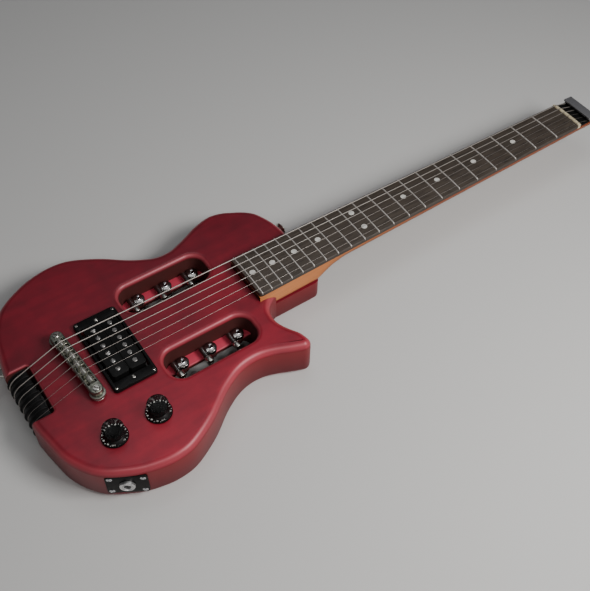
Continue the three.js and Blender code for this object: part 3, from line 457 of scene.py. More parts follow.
grain, given, result = new_group(
    "grain",
    [PLACE, ("Fibre width", NUMBER, 1), ("Stretch", NUMBER, 12), ("Pores", NUMBER, 0.5)],
    [("Fibres", NUMBER), ("Pores", NUMBER), ("Height", NUMBER)],
)
slim = compute(grain, "DIVIDE", 1.0, given["Stretch"])
squeeze = wire(grain, "ShaderNodeCombineXYZ", {0: slim, 1: 1.0, 2: 1.0})[0]
drawn = wire(grain, "ShaderNodeVectorMath", {0: given["Place"], 1: squeeze}, operation="MULTIPLY")[0]
count = compute(grain, "DIVIDE", 1000.0, given["Fibre width"])
fibres = noise(grain, drawn, count, 4, Distortion=0.3)
specks = noise(grain, drawn, compute(grain, "MULTIPLY", count, 2.3), 1)
pores = remap(grain, specks, 0.6, 0.72, 0.0, given["Pores"])
height = compute(grain, "SUBTRACT", fibres, pores)
feed(grain, result, {"Fibres": fibres, "Pores": pores, "Height": height})
print("wood effects:", [g.name for g in bpy.data.node_groups])

# %% Grime and scuffs
grime, given, result = new_group(
    "grime",
    [PLACE, ("Scale", NUMBER, 300), ("Dirt", NUMBER, 0.5), ("Rub", NUMBER, 0.5), ("Edge", NUMBER, 0.0003)],
    [("Dirt", NUMBER), ("Rub", NUMBER)],
)
normal = wire(grime, "ShaderNodeNewGeometry")["Normal"]
eased_edge = wire(grime, "ShaderNodeBevel", {"Radius": given["Edge"]}, samples=4)[0]
likeness = wire(grime, "ShaderNodeVectorMath", {0: eased_edge, 1: normal}, operation="DOT_PRODUCT")["Value"]
edge = remap(grime, likeness, 0.995, 0.9)
open_sky = wire(grime, "ShaderNodeAmbientOcclusion", {"Distance": 0.002}, samples=4, only_local=True)["AO"]
patches = noise(grime, given["Place"], given["Scale"], 6)
held = compute(grime, "MAXIMUM", remap(grime, open_sky, 0.85, 0.35), remap(grime, patches, 0.45, 0.7))
dirty = compute(grime, "MULTIPLY", held, given["Dirt"])
ridge = compute(grime, "MULTIPLY", compute(grime, "MULTIPLY", edge, open_sky), given["Rub"])
feed(grime, result, {"Dirt": dirty, "Rub": ridge})

scuffs, given, result = new_group(
    "scuffs",
    [PLACE, ("Scale", NUMBER, 120), ("Least", NUMBER, 0.3), ("Most", NUMBER, 0.5)],
    [("Roughness", NUMBER), ("Height", NUMBER)],
)
smear = noise(scuffs, given["Place"], given["Scale"], 6)
handled = remap(scuffs, smear, 0.3, 0.7, given["Least"], given["Most"])
feed(scuffs, result, {"Roughness": handled, "Height": smear})
print("shared groups:", [g.name for g in bpy.data.node_groups])


# %% [markdown]
# ## Finishes
#
# A finish is one Principled shader with the groups wired into it. `new_finish` makes the material and
# hands back the pieces that every finish needs: its node tree, the shader's sockets, and the place of
# each point on the guitar, so that grain and mottle run on from one face to the next.


# %% A helper that starts a finish
def new_finish(name, **constants):
    material = bpy.data.materials.new(name)
    material.use_nodes = True
    tree = material.node_tree
    sockets = tree.nodes["Principled BSDF"].inputs
    feed(tree, sockets, constants)
    return material, tree, sockets, wire(tree, "ShaderNodeTexCoord")["Object"]


def place_group(tree, group, place, **sockets):
    return wire(tree, "ShaderNodeGroup", {"Place": place, **sockets}, node_tree=group)


def bump(tree, shader, height, distance, strength=1.0):
    lift = {"Height": height, "Distance": distance * MM, "Strength": strength}
    feed(tree, shader, {"Normal": wire(tree, "ShaderNodeBump", lift)[0]})


def xyz(tree, vector):
    return wire(tree, "ShaderNodeSeparateXYZ", {0: vector})


# %% [markdown]
# **Cherry body.** The body is stained a deep transparent red under satin lacquer. Light goes through
# the stain and comes back from wood with soft darker clouds, and short pores print through faintly.
# Two layers of mottle over a fine grain give that depth, and a weak coat gives the satin sheen. Light
# and shade are painted across the body: lighter toward the treble side, darker toward the bass side.

# %% The cherry stain
cherry, tree, shader, place = new_finish(
    "cherry_satin", Specular_IOR_Level=0.75, Specular_Tint=(1, 0.5, 0.56), Coat_Roughness=0.26
)
cloud_tones = {"Dark": (0.105, 0.007, 0.013), "Light": (0.25, 0.008, 0.021)}
clouds = place_group(tree, mottle, place, Scale=11, Contrast=2.6, **cloud_tones)
wood = place_group(tree, grain, place, Fibre_width=9, Stretch=7, Pores=0.4)
deep = blend(tree, remap(tree, wood["Fibres"], 0.3, 0.72), (0.8, 0.86, 0.84), (1.06, 1.02, 1.02))
stained = blend(tree, 1.0, clouds["Color"], deep, "MULTIPLY")
x, y, z = xyz(tree, place)
# painted light and shade: lighter toward the treble side, where the key light stands, darker toward the
# bass side
treble_light_share = remap(tree, compute(tree, "MULTIPLY_ADD", clouds["Amount"], -0.06, y), -0.15, 0.02)
depth = blend(tree, treble_light_share, (1.22, 1.15, 1.2), (0.74, 0.85, 0.85))
tone_with_painted_shade = blend(tree, 1.0, stained, depth, "MULTIPLY")
print("cherry nodes so far:", len(tree.nodes))

# %% [markdown]
# Light and shade are painted into the stain here. Rounded edges carry a painted pink highlight. Upright
# walls are painted a vivid red, as if lit, and painted darker toward the foot. Inside the tuner holes,
# near the middle, the walls carry painted shade, are rougher and have no coat. The ledges get painted
# light.

# %% Edges, walls and ledges
wall_heights, ledge_heights = (0.032, 0.004), (0.0225, 0.0215)
before_holes, past_holes, middle_halves = (0.05, 0.06), (0.168, 0.166), (0.031, 0.068)
up = xyz(tree, wire(tree, "ShaderNodeTexCoord")["Normal"])[2]
level = compute(tree, "ABSOLUTE", up)
upright = remap(tree, level, 0.3, 0.1)
# painted highlight: rounded edges, tilted between up and sideways, are painted a lighter pink
edge = compute(tree, "MULTIPLY", remap(tree, level, 0.97, 0.82), remap(tree, level, 0.2, 0.5, 0.0, 0.42))
edge_highlighted = blend(tree, edge, tone_with_painted_shade, (0.5, 0.09, 0.11))
# painted light and shade: upright walls are painted a vivid red as if lit, and painted darker toward the
# foot
low_wall = compute(tree, "MULTIPLY", remap(tree, z, *wall_heights, 0.0, 0.7), upright)
walls_painted_lit = blend(tree, upright, edge_highlighted, (0.19, 0.003, 0.006))
walls_foot_shade = blend(tree, low_wall, walls_painted_lit, (0.035, 0.002, 0.004))
# painted shade: the walls inside the tuner holes near the middle are painted dark; the same mask makes them
# rougher
limit = remap(tree, x, *before_holes, *middle_halves)
near_middle = compute(tree, "LESS_THAN", compute(tree, "ABSOLUTE", y), limit)
middle_part = compute(tree, "MULTIPLY", near_middle, remap(tree, x, *past_holes))
hole_wall_mask = compute(tree, "MULTIPLY", middle_part, upright)
hole_walls_shaded = blend(tree, hole_wall_mask, walls_foot_shade, (0.05, 0.01, 0.007))
# painted light: the ledges under the tuners are painted a lighter pink
on_ledge = compute(tree, "MULTIPLY", remap(tree, z, *ledge_heights), remap(tree, up, 0.8, 0.95))
ledges_painted_lit = blend(tree, on_ledge, hole_walls_shaded, (0.5, 0.045, 0.08))
satin = place_group(tree, scuffs, place, Scale=14, Least=0.36, Most=0.46)
roughness_in_holes = compute(tree, "MULTIPLY_ADD", hole_wall_mask, 0.4, satin["Roughness"])
coat = remap(tree, upright, 0.0, 1.0, 0.1, 0.0)
feed(tree, shader, {"Base Color": ledges_painted_lit, "Roughness": roughness_in_holes, "Coat Weight": coat})
bump(tree, shader, wood["Height"], 0.008, 0.4)
print("cherry nodes:", len(tree.nodes))

# %% [markdown]
# ** Maple neck.** Straight, fine grain under amber satin lacquer. Painted shade makes it darker and redder
# toward the head, its underside lies in its own painted shade, and painted shade darkens the heel's end
# face.

# %% The maple finish
maple, tree, shader, place = new_finish(
    "maple_amber", Specular_IOR_Level=0.3, Coat_Weight=0.08, Coat_Roughness=0.3
)
wood = place_group(tree, grain, place, Fibre_width=2.2, Stretch=26, Pores=0.3)
warm = blend(tree, wood["Fibres"], (0.5, 0.17, 0.05), (0.82, 0.33, 0.11))
cloud_tones = {"Dark": (0.86, 0.82, 0.78), "Light": (1.08, 1.06, 1.02)}
clouds = place_group(tree, mottle, place, Scale=14, Contrast=1.2, **cloud_tones)
cloudy = blend(tree, 1.0, warm, clouds["Color"], "MULTIPLY")
# painted shade: darker and redder toward the head
head_shade = blend(tree, remap(tree, xyz(tree, place)[0], 0.2, 0.42), 1, (0.42, 0.23, 0.2))
tone_with_painted_shade = blend(tree, 1.0, cloudy, head_shade, "MULTIPLY")
facing = xyz(tree, wire(tree, "ShaderNodeTexCoord")["Normal"])
# painted shade: the underside is darker where it faces down
deeper = blend(tree, remap(tree, facing[2], 0.0, -0.4), tone_with_painted_shade, (0.22, 0.065, 0.018))
# painted shade: the end face of the heel, facing away from the light, is painted dark
end_face_shaded = blend(tree, remap(tree, facing[0], -0.6, -0.9), deeper, (0.035, 0.012, 0.006))
satin = place_group(tree, scuffs, place, Scale=30, Least=0.38, Most=0.5)
feed(tree, shader, {"Base Color": end_face_shaded, "Roughness": satin["Roughness"]})
bump(tree, shader, wood["Height"], 0.015, 0.4)
print("maple nodes:", len(tree.nodes))

# %% [markdown]
# **Rosewood fingerboard.** Nearly black-brown, open-pored and dry, so it is rough and its pores show.

# %% The rosewood finish
rosewood, tree, shader, place = new_finish("rosewood_dry")
wood = place_group(tree, grain, place, Fibre_width=1.3, Stretch=22, Pores=1.0)
brown = blend(tree, wood["Fibres"], (0.012, 0.009, 0.007), (0.08, 0.062, 0.047))
open_pores = blend(tree, wood["Pores"], brown, (0.006, 0.004, 0.004))
dry = place_group(tree, scuffs, place, Scale=60, Least=0.42, Most=0.62)
feed(tree, shader, {"Base Color": open_pores, "Roughness": dry["Roughness"]})
bump(tree, shader, wood["Height"], 0.05, 0.6)
print("rosewood nodes:", len(tree.nodes))


# %% [markdown]
# **Metals and plastics.** The same recipe serves all of them: a base colour, dirt that stays in the
# hollows, edges rubbed brighter, and a roughness that varies where hands have been. Only the numbers
# differ, so one function makes them. The bridge's nickel is the most worn: it is grey and blotched.


# %% Metals from one recipe
def handled_finish(
    name, base, dark, bright, metallic, rough, dirt=0.4, rub=0.4, scale=300, bumps=0.0, **more
):
    material, tree, shader, place = new_finish(name, Metallic=metallic, **more)
    wear = place_group(tree, grime, place, Scale=scale, Dirt=dirt, Rub=rub)
    rubbed = blend(tree, wear["Rub"], blend(tree, wear["Dirt"], base, dark), bright)
    touch = place_group(tree, scuffs, place, Scale=scale, Least=rough[0], Most=rough[1])
    feed(tree, shader, {"Base Color": rubbed, "Roughness": touch["Roughness"]})
    if bumps:
        bump(tree, shader, touch["Height"], bumps, 0.5)
    return material


barrel_chrome = handled_finish("chrome_barrel", 0.7, 0.3, 0.9, 1, (0.3, 0.44), 0.3, 0.8)
chrome = handled_finish("chrome_plate", (0.62, 0.63, 0.65), 0.3, 0.8, 1, (0.06, 0.16), 0.3)
grip_chrome = handled_finish(
    "chrome_grip", (0.5, 0.5, 0.46), (0.12, 0.12, 0.1), (0.75, 0.75, 0.72), 1, (0.2, 0.34), 0.6, 0.6
)
dark_chrome = handled_finish("chrome_dark", (0.3, 0.29, 0.28), 0.06, 0.5, 1, (0.12, 0.24), 0.6, 0.5)
aged_nickel = handled_finish(
    "nickel_worn", (0.31, 0.32, 0.27), (0.05, 0.048, 0.04), (0.62, 0.61, 0.57), 1, (0.28, 0.5), 0.85, 0.9,
    scale=420, bumps=0.03,
)  # fmt: skip
bright_nickel = handled_finish(
    "nickel_bright", (0.62, 0.6, 0.55), (0.3, 0.28, 0.25), (0.85, 0.83, 0.78), 1, (0.16, 0.3), 0.35, 0.5
)
saddle_nickel = handled_finish(
    "nickel_saddle", (0.85, 0.85, 0.77), (0.1, 0.1, 0.08), (0.85, 0.85, 0.8), 1, (0.36, 0.52), 0.7, 1.0,
    scale=500, bumps=0.02,
)  # fmt: skip
slug_nickel = handled_finish(
    "nickel_dull", (0.24, 0.23, 0.22), 0.1, (0.5, 0.48, 0.46), 1, (0.3, 0.45), 0.4, 0.5
)
fret_nickel = handled_finish(
    "nickel_fret", (0.74, 0.7, 0.66), (0.3, 0.28, 0.26), (0.85, 0.83, 0.8), 0.7, (0.34, 0.46), 0.25, 0.3
)
grey_metal = handled_finish("grey_satin_metal", (0.17, 0.17, 0.18), 0.1, 0.5, 0.5, (0.36, 0.48), 0.3, 0.5)
steel = handled_finish(
    "steel_turned", (0.42, 0.41, 0.4), (0.2, 0.19, 0.18), (0.6, 0.59, 0.57), 1, (0.3, 0.42)
)
plain_wire = handled_finish(
    "string_plain", (0.42, 0.38, 0.35), (0.3, 0.28, 0.26), 0.5, 1, (0.4, 0.5), 0.2, 0
)
print("metals:", len(bpy.data.materials))

# %% Blacks and creams from the same recipe
black_lacquer = handled_finish(
    "black_plate_lacquer", 0.006, 0.004, 0.2, 0, (0.3, 0.42), 0.3, 0.5, Specular_IOR_Level=0.1
)
black_plastic = handled_finish(
    "black_plastic", (0.005, 0.005, 0.0052), (0.009, 0.009, 0.008), 0.02, 0, (0.24, 0.36), 0.3, 0.3,
    Specular_IOR_Level=0.11,
)  # fmt: skip
dull_plastic = handled_finish(
    "black_plastic_dull", 0.005, 0.01, 0.02, 0, (0.34, 0.5), 0.4, 0.3, Specular_IOR_Level=0.2
)
bone = handled_finish(
    "nut_cream", (0.66, 0.58, 0.4), (0.34, 0.26, 0.14), (0.78, 0.71, 0.55), 0, (0.3, 0.42), 0.5, 0.4, 200
)
pearl = handled_finish(
    "dot_pearl", (0.6, 0.59, 0.55), (0.3, 0.29, 0.26), (0.62, 0.62, 0.6), 0, (0.25, 0.4), 0.4, 0.0, 150
)
paint = handled_finish("number_paint", (0.9, 0.9, 0.86), (0.5, 0.5, 0.48), 0.8, 0, (0.4, 0.6), 0.2, 0)
print("finishes:", len(bpy.data.materials))

# %% [markdown]
# ## The body
#
# The body is one slab of wood, cut along a flowing outline and rounded over all round. Its outline is a
# smooth curve through a few points, given as shares of the body's length and of its widest place, just
# as a template would be drawn. The rounding comes from rings that step inward along a quarter circle.

# %% Sizes of the body
lower_bout_shares = [
    (0, 0), (0, 0.228), (0.012, 0.42), (0.032, 0.618), (0.084, 0.81), (0.168, 0.935), (0.237, 0.987),
    (0.297, 1), (0.356, 0.972), (0.437, 0.867), (0.506, 0.741), (0.553, 0.672), (0.591, 0.634),
]  # fmt: skip
shoulder_shares = [
    (0.634, 0.631), (0.669, 0.657), (0.71, 0.697), (0.75, 0.741), (0.788, 0.77), (0.822, 0.783),
    (0.85, 0.774), (0.875, 0.754), (0.9, 0.721), (0.923, 0.69), (0.946, 0.648), (0.965, 0.596),
    (0.979, 0.524), (0.99, 0.444), (0.997, 0.35), (1, 0.228),
]  # fmt: skip
horn_shares = [(0.629, 0.618), (0.669, 0.623), (0.71, 0.653), (0.75, 0.695)]
horn_tip_share = (0.796, 0.6775)
cutaway_shares = [
    (0.811, 0.593), (0.792, 0.517), (0.778, 0.445), (0.773, 0.38), (0.778, 0.311), (0.792, 0.259),
    (0.811, 0.226),
]  # fmt: skip
cutaway_end_share = 0.827
horn_tip_radius, tongue_corner, fit_gap = 7.5, 7, 0.3

neck_low, neck_high = box_mm("neck")
nut_low, nut_high = box_mm("nut")
nut_x, board_end = nut_low[0], neck_low[0]
half_at_nut, half_at_end = (nut_high[1] - nut_low[1]) / 2, (neck_high[1] - neck_low[1]) / 2
butt_x, body_top = body_low[0], body_high[2]
body_length = body_high[0] - butt_x
bout_half = (body_high[1] - body_low[1]) / 2
cutaway_end = butt_x + cutaway_end_share * body_length
print("body length, mm:", round(body_length, 1))


# %% Draw the outline
def neck_half(x):
    """Half the width of the neck: it narrows evenly from the end of the board to the nut."""
    share = (min(x, nut_x) - board_end) / (nut_x - board_end)
    return half_at_end + share * (half_at_nut - half_at_end)


def smooth_line(points, steps):
    """A smooth curve through all the points, with the ends kept."""
    points = np.asarray(points, float)
    padded = np.concatenate([points[:1], points, points[-1:]])
    made = []
    for i in range(len(points) - 1):
        p0, p1, p2, p3 = padded[i : i + 4]
        v0, v1 = (p2 - p0) / 2, (p3 - p1) / 2
        for t in (step / steps for step in range(steps)):
            cubic, square = 2 * p1 - 2 * p2 + v0 + v1, -3 * p1 + 3 * p2 - 2 * v0 - v1
            made.append(cubic * t**3 + square * t**2 + v0 * t + p1)
    return np.array([*made, points[-1]])


def arc(middle, radius, start, end, steps):
    angle = np.linspace(start, end, steps + 1)
    return np.stack([middle[0] + radius * np.cos(angle), middle[1] + radius * np.sin(angle)], 1)


def body_outline(steps=7):
    def place(shares, side):
        return [(butt_x + along * body_length, side * across * bout_half) for along, across in shares]

    bass = place([*lower_bout_shares[1:], *shoulder_shares], 1)
    treble = place([*lower_bout_shares, *horn_shares], -1)
    cutaway = place(cutaway_shares, -1)
    tip = np.array(place([horn_tip_share], -1)[0])

    def touch(point, turn):
        away = np.array(point) - tip
        return math.atan2(away[1], away[0]) + turn * math.acos(horn_tip_radius / np.hypot(*away))

    start, end = touch(treble[-1], 1), touch(cutaway[0], -1)
    end += 2 * math.pi if end < start else 0
    on_tip = arc(tip, horn_tip_radius, start, end, 12)
    tongue_y = -neck_half(cutaway_end) - fit_gap
    first = smooth_line([*bass[::-1], *treble, on_tip[0]], steps)
    second = smooth_line([on_tip[-1], *cutaway, (cutaway_end, tongue_y)], steps)
    corner_middle = (butt_x + body_length - tongue_corner, tongue_y + tongue_corner)
    corner = arc(corner_middle, tongue_corner, -math.pi / 2, 0, 10)
    return np.concatenate([first[:-1], on_tip[:-1], second, corner])


outline = body_outline()
print("outline:", len(outline), "points")

# %% [markdown]
# **Cutting the slab.** A router opens the tuner holes, the butt notch, the neck pocket and the channels
# for the strings in the back. Where a hole meets the face, its rim is rounded over, so the cutter
# itself flares out there along a quarter circle. That gives clean rims without any bevelling afterwards.

# %% Kinds of cutters
past = 3  # how far a cutter runs beyond the face it opens


def flared(plan, bottom, top, rim_below=0.0, rim_above=0.0, steps=6):
    """A cutter that opens out like a rounded edge at its lower and its upper end."""
    turns = [step / steps * math.pi / 2 for step in range(steps + 1)]
    rings = [at_height(grown(plan, rim_below), bottom - past)] if rim_below else [at_height(plan, bottom)]
    for turn in reversed(turns) if rim_below else ():
        spread = rim_below * (1 - math.cos(turn))
        rings.append(at_height(grown(plan, spread), bottom + rim_below * (1 - math.sin(turn))))
    for turn in turns if rim_above else ():
        spread = rim_above * (1 - math.cos(turn))
        rings.append(at_height(grown(plan, spread), top - rim_above * (1 - math.sin(turn))))
    rings.append(at_height(grown(plan, rim_above), top + past) if rim_above else at_height(plan, top))
    return loft(rings)


def eased(corners, radius, steps=6):
    """A polygon whose corners are all rounded with the same radius."""
    corners = np.asarray(corners, float)
    made = []
    for i, corner in enumerate(corners):
        sides = np.array([corners[i - 1], corners[(i + 1) % len(corners)]]) - corner
        sides /= np.linalg.norm(sides, axis=1)[:, None]
        half = math.acos(np.clip(sides[0] @ sides[1], -1, 1)) / 2
        middle = corner + sides.sum(0) / np.linalg.norm(sides.sum(0)) * radius / math.sin(half)
        spokes = corner + sides * radius / math.tan(half) - middle
        start, end = (math.atan2(y, x) for x, y in spokes)
        sweep = (end - start + math.pi) % (2 * math.pi) - math.pi
        made += list(arc(middle, radius, start, start + sweep, steps))
    return np.array(made)


print("an eased triangle has", len(eased([(0, 0), (9, 0), (0, 9)], 1)), "points")

# %% Tuner holes, notch, channels and pocket
hole_length, hole_width, hole_corner, hole_rim, back_rim = 95.4, 34.8, 13.5, 5.5, 1.5
hole_middle, bass_hole_centre, treble_hole_centre = 116.2, 46.6, -45.4
ledge_top, ledge_thickness, ledge_width, ledge_edge = 20, 5.5, 12.4, 1.4
notch_depth, notch_half, notch_corner, notch_rim = 23.4, 29.7, 3, 2.6
channel_corner, channel_inset = 2.5, 1.5
channel_start, channel_turn, channel_end = butt_x + notch_depth - past, 77, 135
channel_plans = [
    [(channel_start, channel_inset), (channel_turn, 32), (channel_turn, 57), (channel_start, notch_half)],
    [
        (channel_start, -notch_half), (channel_turn, -44), (channel_end, -44), (channel_end, -24.5),
        (channel_turn, -18.5), (channel_start, -channel_inset),
    ],
]  # fmt: skip


def tuner_hole(centre):
    """Open above the ledge, open through beside it, and open again under it."""
    plan = rounded(hole_length, hole_width, hole_corner, 12, (hole_middle, centre))
    wall = centre + hole_width / 2
    upper = flared(plan, ledge_top, body_top, rim_above=hole_rim)
    through = flared(plan, 0, ledge_top + past, rim_below=back_rim)
    ledge = block(
        (hole_middle - hole_length, wall - ledge_width, ledge_top - ledge_thickness),
        (hole_middle + hole_length, wall + past, ledge_top),
    )
    return [upper, carve(through, softened(ledge, ledge_edge, 4))]


def butt_notch():
    length = notch_depth + 2 * past
    middle = (butt_x + notch_depth - length / 2, 0)
    plan = rounded(length, 2 * notch_half, notch_corner, 6, middle)
    return flared(plan, 0, body_top, back_rim, notch_rim)


def neck_pocket():
    start, end = board_end - fit_gap, body_high[0] + past
    outward = neck_half(start) + fit_gap + tongue_corner
    plan = [
        (start, neck_half(start) + fit_gap),
        (start, -neck_half(start) - fit_gap),
        (cutaway_end, -neck_half(cutaway_end) - fit_gap),
        (cutaway_end, -outward),
        (end, -outward),
        (end, neck_half(end) + fit_gap),
    ]
    return prism(np.array(plan), neck_low[2] - fit_gap, body_top + past)


print("cutter of the bass hole:", [len(s[0]) for s in tuner_hole(bass_hole_centre)], "points")

# %% [markdown]
# The pieces that are let into the wood need their own room: the pickup, the bridge's inserts, the
# potentiometers and their cavity in the back, the jack and the strap buttons in the side. Their places
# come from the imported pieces. The jack and the buttons sit on a wall that runs askew, so each has a
# small frame of its own, with z pointing out of the wood.


# %% Find the places of the fittings
def wall_frame(middle, out):
    """A frame on the side wall: x along the wall, y up, z out of the wood."""
    out = Vector((*out, 0)).normalized()
    up = Vector((0, 0, 1))
    turn = Matrix((up.cross(out), up, out)).transposed()
    return Matrix.Translation(middle) @ turn.to_4x4()


jack_out = Vector((-0.498766, -0.866737))
jack_plate_thickness, jack_seat, jack_plate_length, jack_plate_height = 2, -1.7, 37.4, 29
plate_middle = np.add(*box_mm("jack_plate")) / 2
back_off = jack_seat + jack_plate_thickness / 2
jack_frame = wall_frame((*(plate_middle[:2] - back_off * np.array(jack_out)), plate_middle[2]), jack_out)

strap_height = 12.5
strap_frames = {}
for mount in frame["record"]["mounts"]:
    if mount["name"].startswith("strap_button"):
        place, out = Vector(mount["pos_m"]) / MM, Vector(mount["axis"])
        strap_frames[mount["name"].removesuffix("_face")] = wall_frame(place - out * strap_height, out[:2])

tuner_places = {}
for joint in frame["record"]["behaviour"]["joints"]:
    if joint["name"].startswith("tuner_post"):
        tuner_places[joint["child"].removeprefix("tuner_post_")] = Vector(joint["pos_m"]) / MM

knob_middles = {name: (np.add(*box_mm(f"{name}_knob")) / 2)[:2] for name in ("volume", "tone")}
ring_low, ring_high = box_mm("pickup_ring")
pickup_x = (ring_low[0] + ring_high[0]) / 2
bridge_angle, bridge_x, post_spacing = 0.075, -1, 74
bridge_frame = Matrix.Translation((bridge_x, 0, 0)) @ Matrix.Rotation(bridge_angle, 4, "Z")
bridge_sides = {"bass": post_spacing / 2, "treble": -post_spacing / 2}
cover_low, cover_high = box_mm("control_cover")
cover_middle, cover_size = (cover_low + cover_high) / 2, cover_high - cover_low
turn_high = box_mm("string_turn_block")[1]
turn_radius, rib_height, axle_radius = 15, 1.5, 2.5
turn_middle = Vector(np.add(*box_mm("turn_axle")) / 2)
print("tuners:", {name: tuple(round(v, 1) for v in place) for name, place in tuner_places.items()})

# %% Rooms for the pieces let into the wood
window_length, window_width = 70.6, 38.6
pickup_floor, screw_room = 25, (6, 42)
insert_bore, insert_floor = 5.6, 21
cover_rim, cover_corner, cavity_roof = 5, 23, 38
shaft_bore, shaft_floor = 4.6, 35
jack_room, jack_depth, jack_corner = 11.5, 36, 3.2
post_hole, post_floor = 4.4, 11
axle_overrun = 9


def rooms():
    over = body_top + past
    cuts = []
    for half_x, half_y in ((window_width / 2, window_length / 2), screw_room):
        cuts.append(block((pickup_x - half_x, -half_y, pickup_floor), (pickup_x + half_x, half_y, over)))
    for y in bridge_sides.values():
        cuts.append(moved(bore(insert_bore, (0, y), insert_floor, over, 32), bridge_frame))
    plan = rounded(*cover_size[:2], cover_corner, 10, cover_middle[:2])
    cuts.append(prism(grown(plan, fit_gap), -past, cover_high[2] + fit_gap))
    cuts.append(prism(grown(plan, -cover_rim), -past, cavity_roof))
    for middle in knob_middles.values():
        cuts.append(bore(shaft_bore, middle, shaft_floor, over))
    flat = rounded(jack_plate_length + 2 * fit_gap, jack_plate_height + 2 * fit_gap, jack_corner)
    cuts.append(moved(prism(flat, jack_seat - fit_gap, 2 * past), jack_frame))
    cuts.append(moved(bore(jack_room, (0, 0), -jack_depth, past, 40), jack_frame))
    for place in tuner_places.values():
        cuts.append(bore(post_hole, place[:2], post_floor, ledge_top + past))
    reach = Vector((0, notch_half + axle_overrun, 0))
    cuts.append(bar(axle_radius + fit_gap, turn_middle - reach, turn_middle + reach))
    return cuts


room_cuts = rooms()
print("rooms:", len(room_cuts))

# %% Make the body
face_edge, back_edge = 8, 6
slab = prism(outline, 0, body_top, face_edge, back_edge, 10)
channel_roof = ledge_top - ledge_thickness
channels = [prism(eased(plan, channel_corner), -past, channel_roof) for plan in channel_plans]
holes = tuner_hole(bass_hole_centre) + tuner_hole(treble_hole_centre)
body_shape = carve(slab, neck_pocket(), butt_notch(), *holes, *channels, *room_cuts)
new_piece("body_wood", body_shape, cherry, stands_for="body", weighted=True)
print("body:", len(body_shape[1]), "faces")

# %% [markdown]
# ## Neck and fingerboard
#
# The neck is one piece of maple: a square heel that melts into the round grip. Its section is a
# superellipse, whose exponent falls from nearly square at the heel to nearly elliptic at the grip, so
# one loft makes the whole blend.

# %% Carve the neck
heel_thickness, heel_reach, heel_blend = 22, 255, 35
grip_depth_heel, grip_depth_nut = 16.4, 14.5
heel_square, grip_square = 12, 2.15
heel_blend_shares = [(0, 1, 1), (0.2, 0.72, 0.42), (0.45, 0.38, 0.15), (0.7, 0.14, 0.06), (1, 0, 0)]
neck_tip = ((1.2, 0), (0.5, 0.2), (0.1, 0.6), (0, 1.1))  # how far before the end, and how far inward
neck_end, neck_top = neck_high[0], neck_high[2]


def neck_ring(x, depth, squareness, inset=0.0, steps=40):
    angle = np.linspace(0, math.pi, steps + 1)
    c, s = np.cos(angle), np.sin(angle)
    across = (neck_half(x) - inset) * np.sign(c) * np.abs(c) ** (2 / squareness)
    height = neck_top - (depth - inset) * np.abs(s) ** (2 / squareness)
    return np.stack([np.full(steps + 1, x), across, height], 1)


def neck_shape():
    rings = [neck_ring(board_end, heel_thickness, heel_square)]
    for along, deeper, squarer in smooth_line(heel_blend_shares, 6):
        depth = grip_depth_heel + deeper * (heel_thickness - grip_depth_heel)
        squareness = grip_square + squarer * (heel_square - grip_square)
        rings.append(neck_ring(heel_reach + along * heel_blend, depth, squareness))
    for share in np.linspace(0.1, 1, 10):
        depth = grip_depth_heel + share * (grip_depth_nut - grip_depth_heel)
        x = heel_reach + heel_blend + share * (nut_x - heel_reach - heel_blend)
        rings.append(neck_ring(x, depth, grip_square))
    for before, inset in neck_tip:
        rings.append(neck_ring(neck_end - before, grip_depth_nut, grip_square, inset))
    return loft(rings)


rod_low, rod_high = box_mm("truss_rod")
channel = block(rod_low - fit_gap, (*(rod_high[:2] + fit_gap), neck_top + past))
new_piece("neck_maple", carve(neck_shape(), channel), maple, stands_for="neck", smooth=50)
print("neck from", round(board_end, 1), "to", round(neck_end, 1))

# %% [markdown]
# **Fingerboard and frets.** The board's face is part of a wide cylinder, so its section gets a dozen
# steps, and its treble corner over the body is well rounded. Each fret is a bar of its own with a
# rounded crown and rounded ends, and its tang shows as a thin line in the side of the board. The
# position dots are let in flush.

# %% The board
scale_length, fret_count = nut_x, 21
crown_radius, edge_thickness, board_bottom = 305, 4.7, box_mm("fretboard")[0][2]
board_corner, bass_corner_share = 3.2, 0.2


def fret_x(number):
    return scale_length * 2 ** (-number / 12)


def crown(y):
    return crown_radius - math.sqrt(crown_radius**2 - y**2)


def board_top_at(x, y):
    return board_bottom + edge_thickness + crown(neck_half(x)) - crown(y)


def board_shape(ease=0.5, steps=14):
    rings, stations = [], []
    for t in np.linspace(0, math.pi / 2, 7)[:-1]:
        stations.append((board_end + board_corner * (1 - math.cos(t)), board_corner * (1 - math.sin(t))))
    stations += [(x, 0) for x in np.linspace(board_end + board_corner, nut_x - fit_gap, 25)]
    for x, inset in stations:
        bass, treble = neck_half(x) - inset * bass_corner_share, inset - neck_half(x)
        top = [(x, y, board_top_at(x, y)) for y in np.linspace(treble + ease, bass - ease, steps + 1)]
        side = board_top_at(x, bass) - ease
        below = [(x, bass, board_bottom), (x, treble, board_bottom), (x, treble, side)]
        rings.append([*below, *top, (x, bass, side)])
    return loft(rings[::-1])


new_piece("fingerboard", board_shape(), rosewood, stands_for="fretboard")
print("last fret at", round(fret_x(fret_count), 1))

# %% Frets and dots
fret_width, fret_height, fret_end, fret_seat = 1.5, 1.0, 1.1, 0.05
tang_half, tang_below, tang_above, tang_out = 0.28, 1.7, 0.15, 0.03
dot_radius, double_dot_offset, dot_lift = 3.1, 11.4, 0.03
dotted = (3, 5, 7, 9, 12, 15, 17, 19, 21)


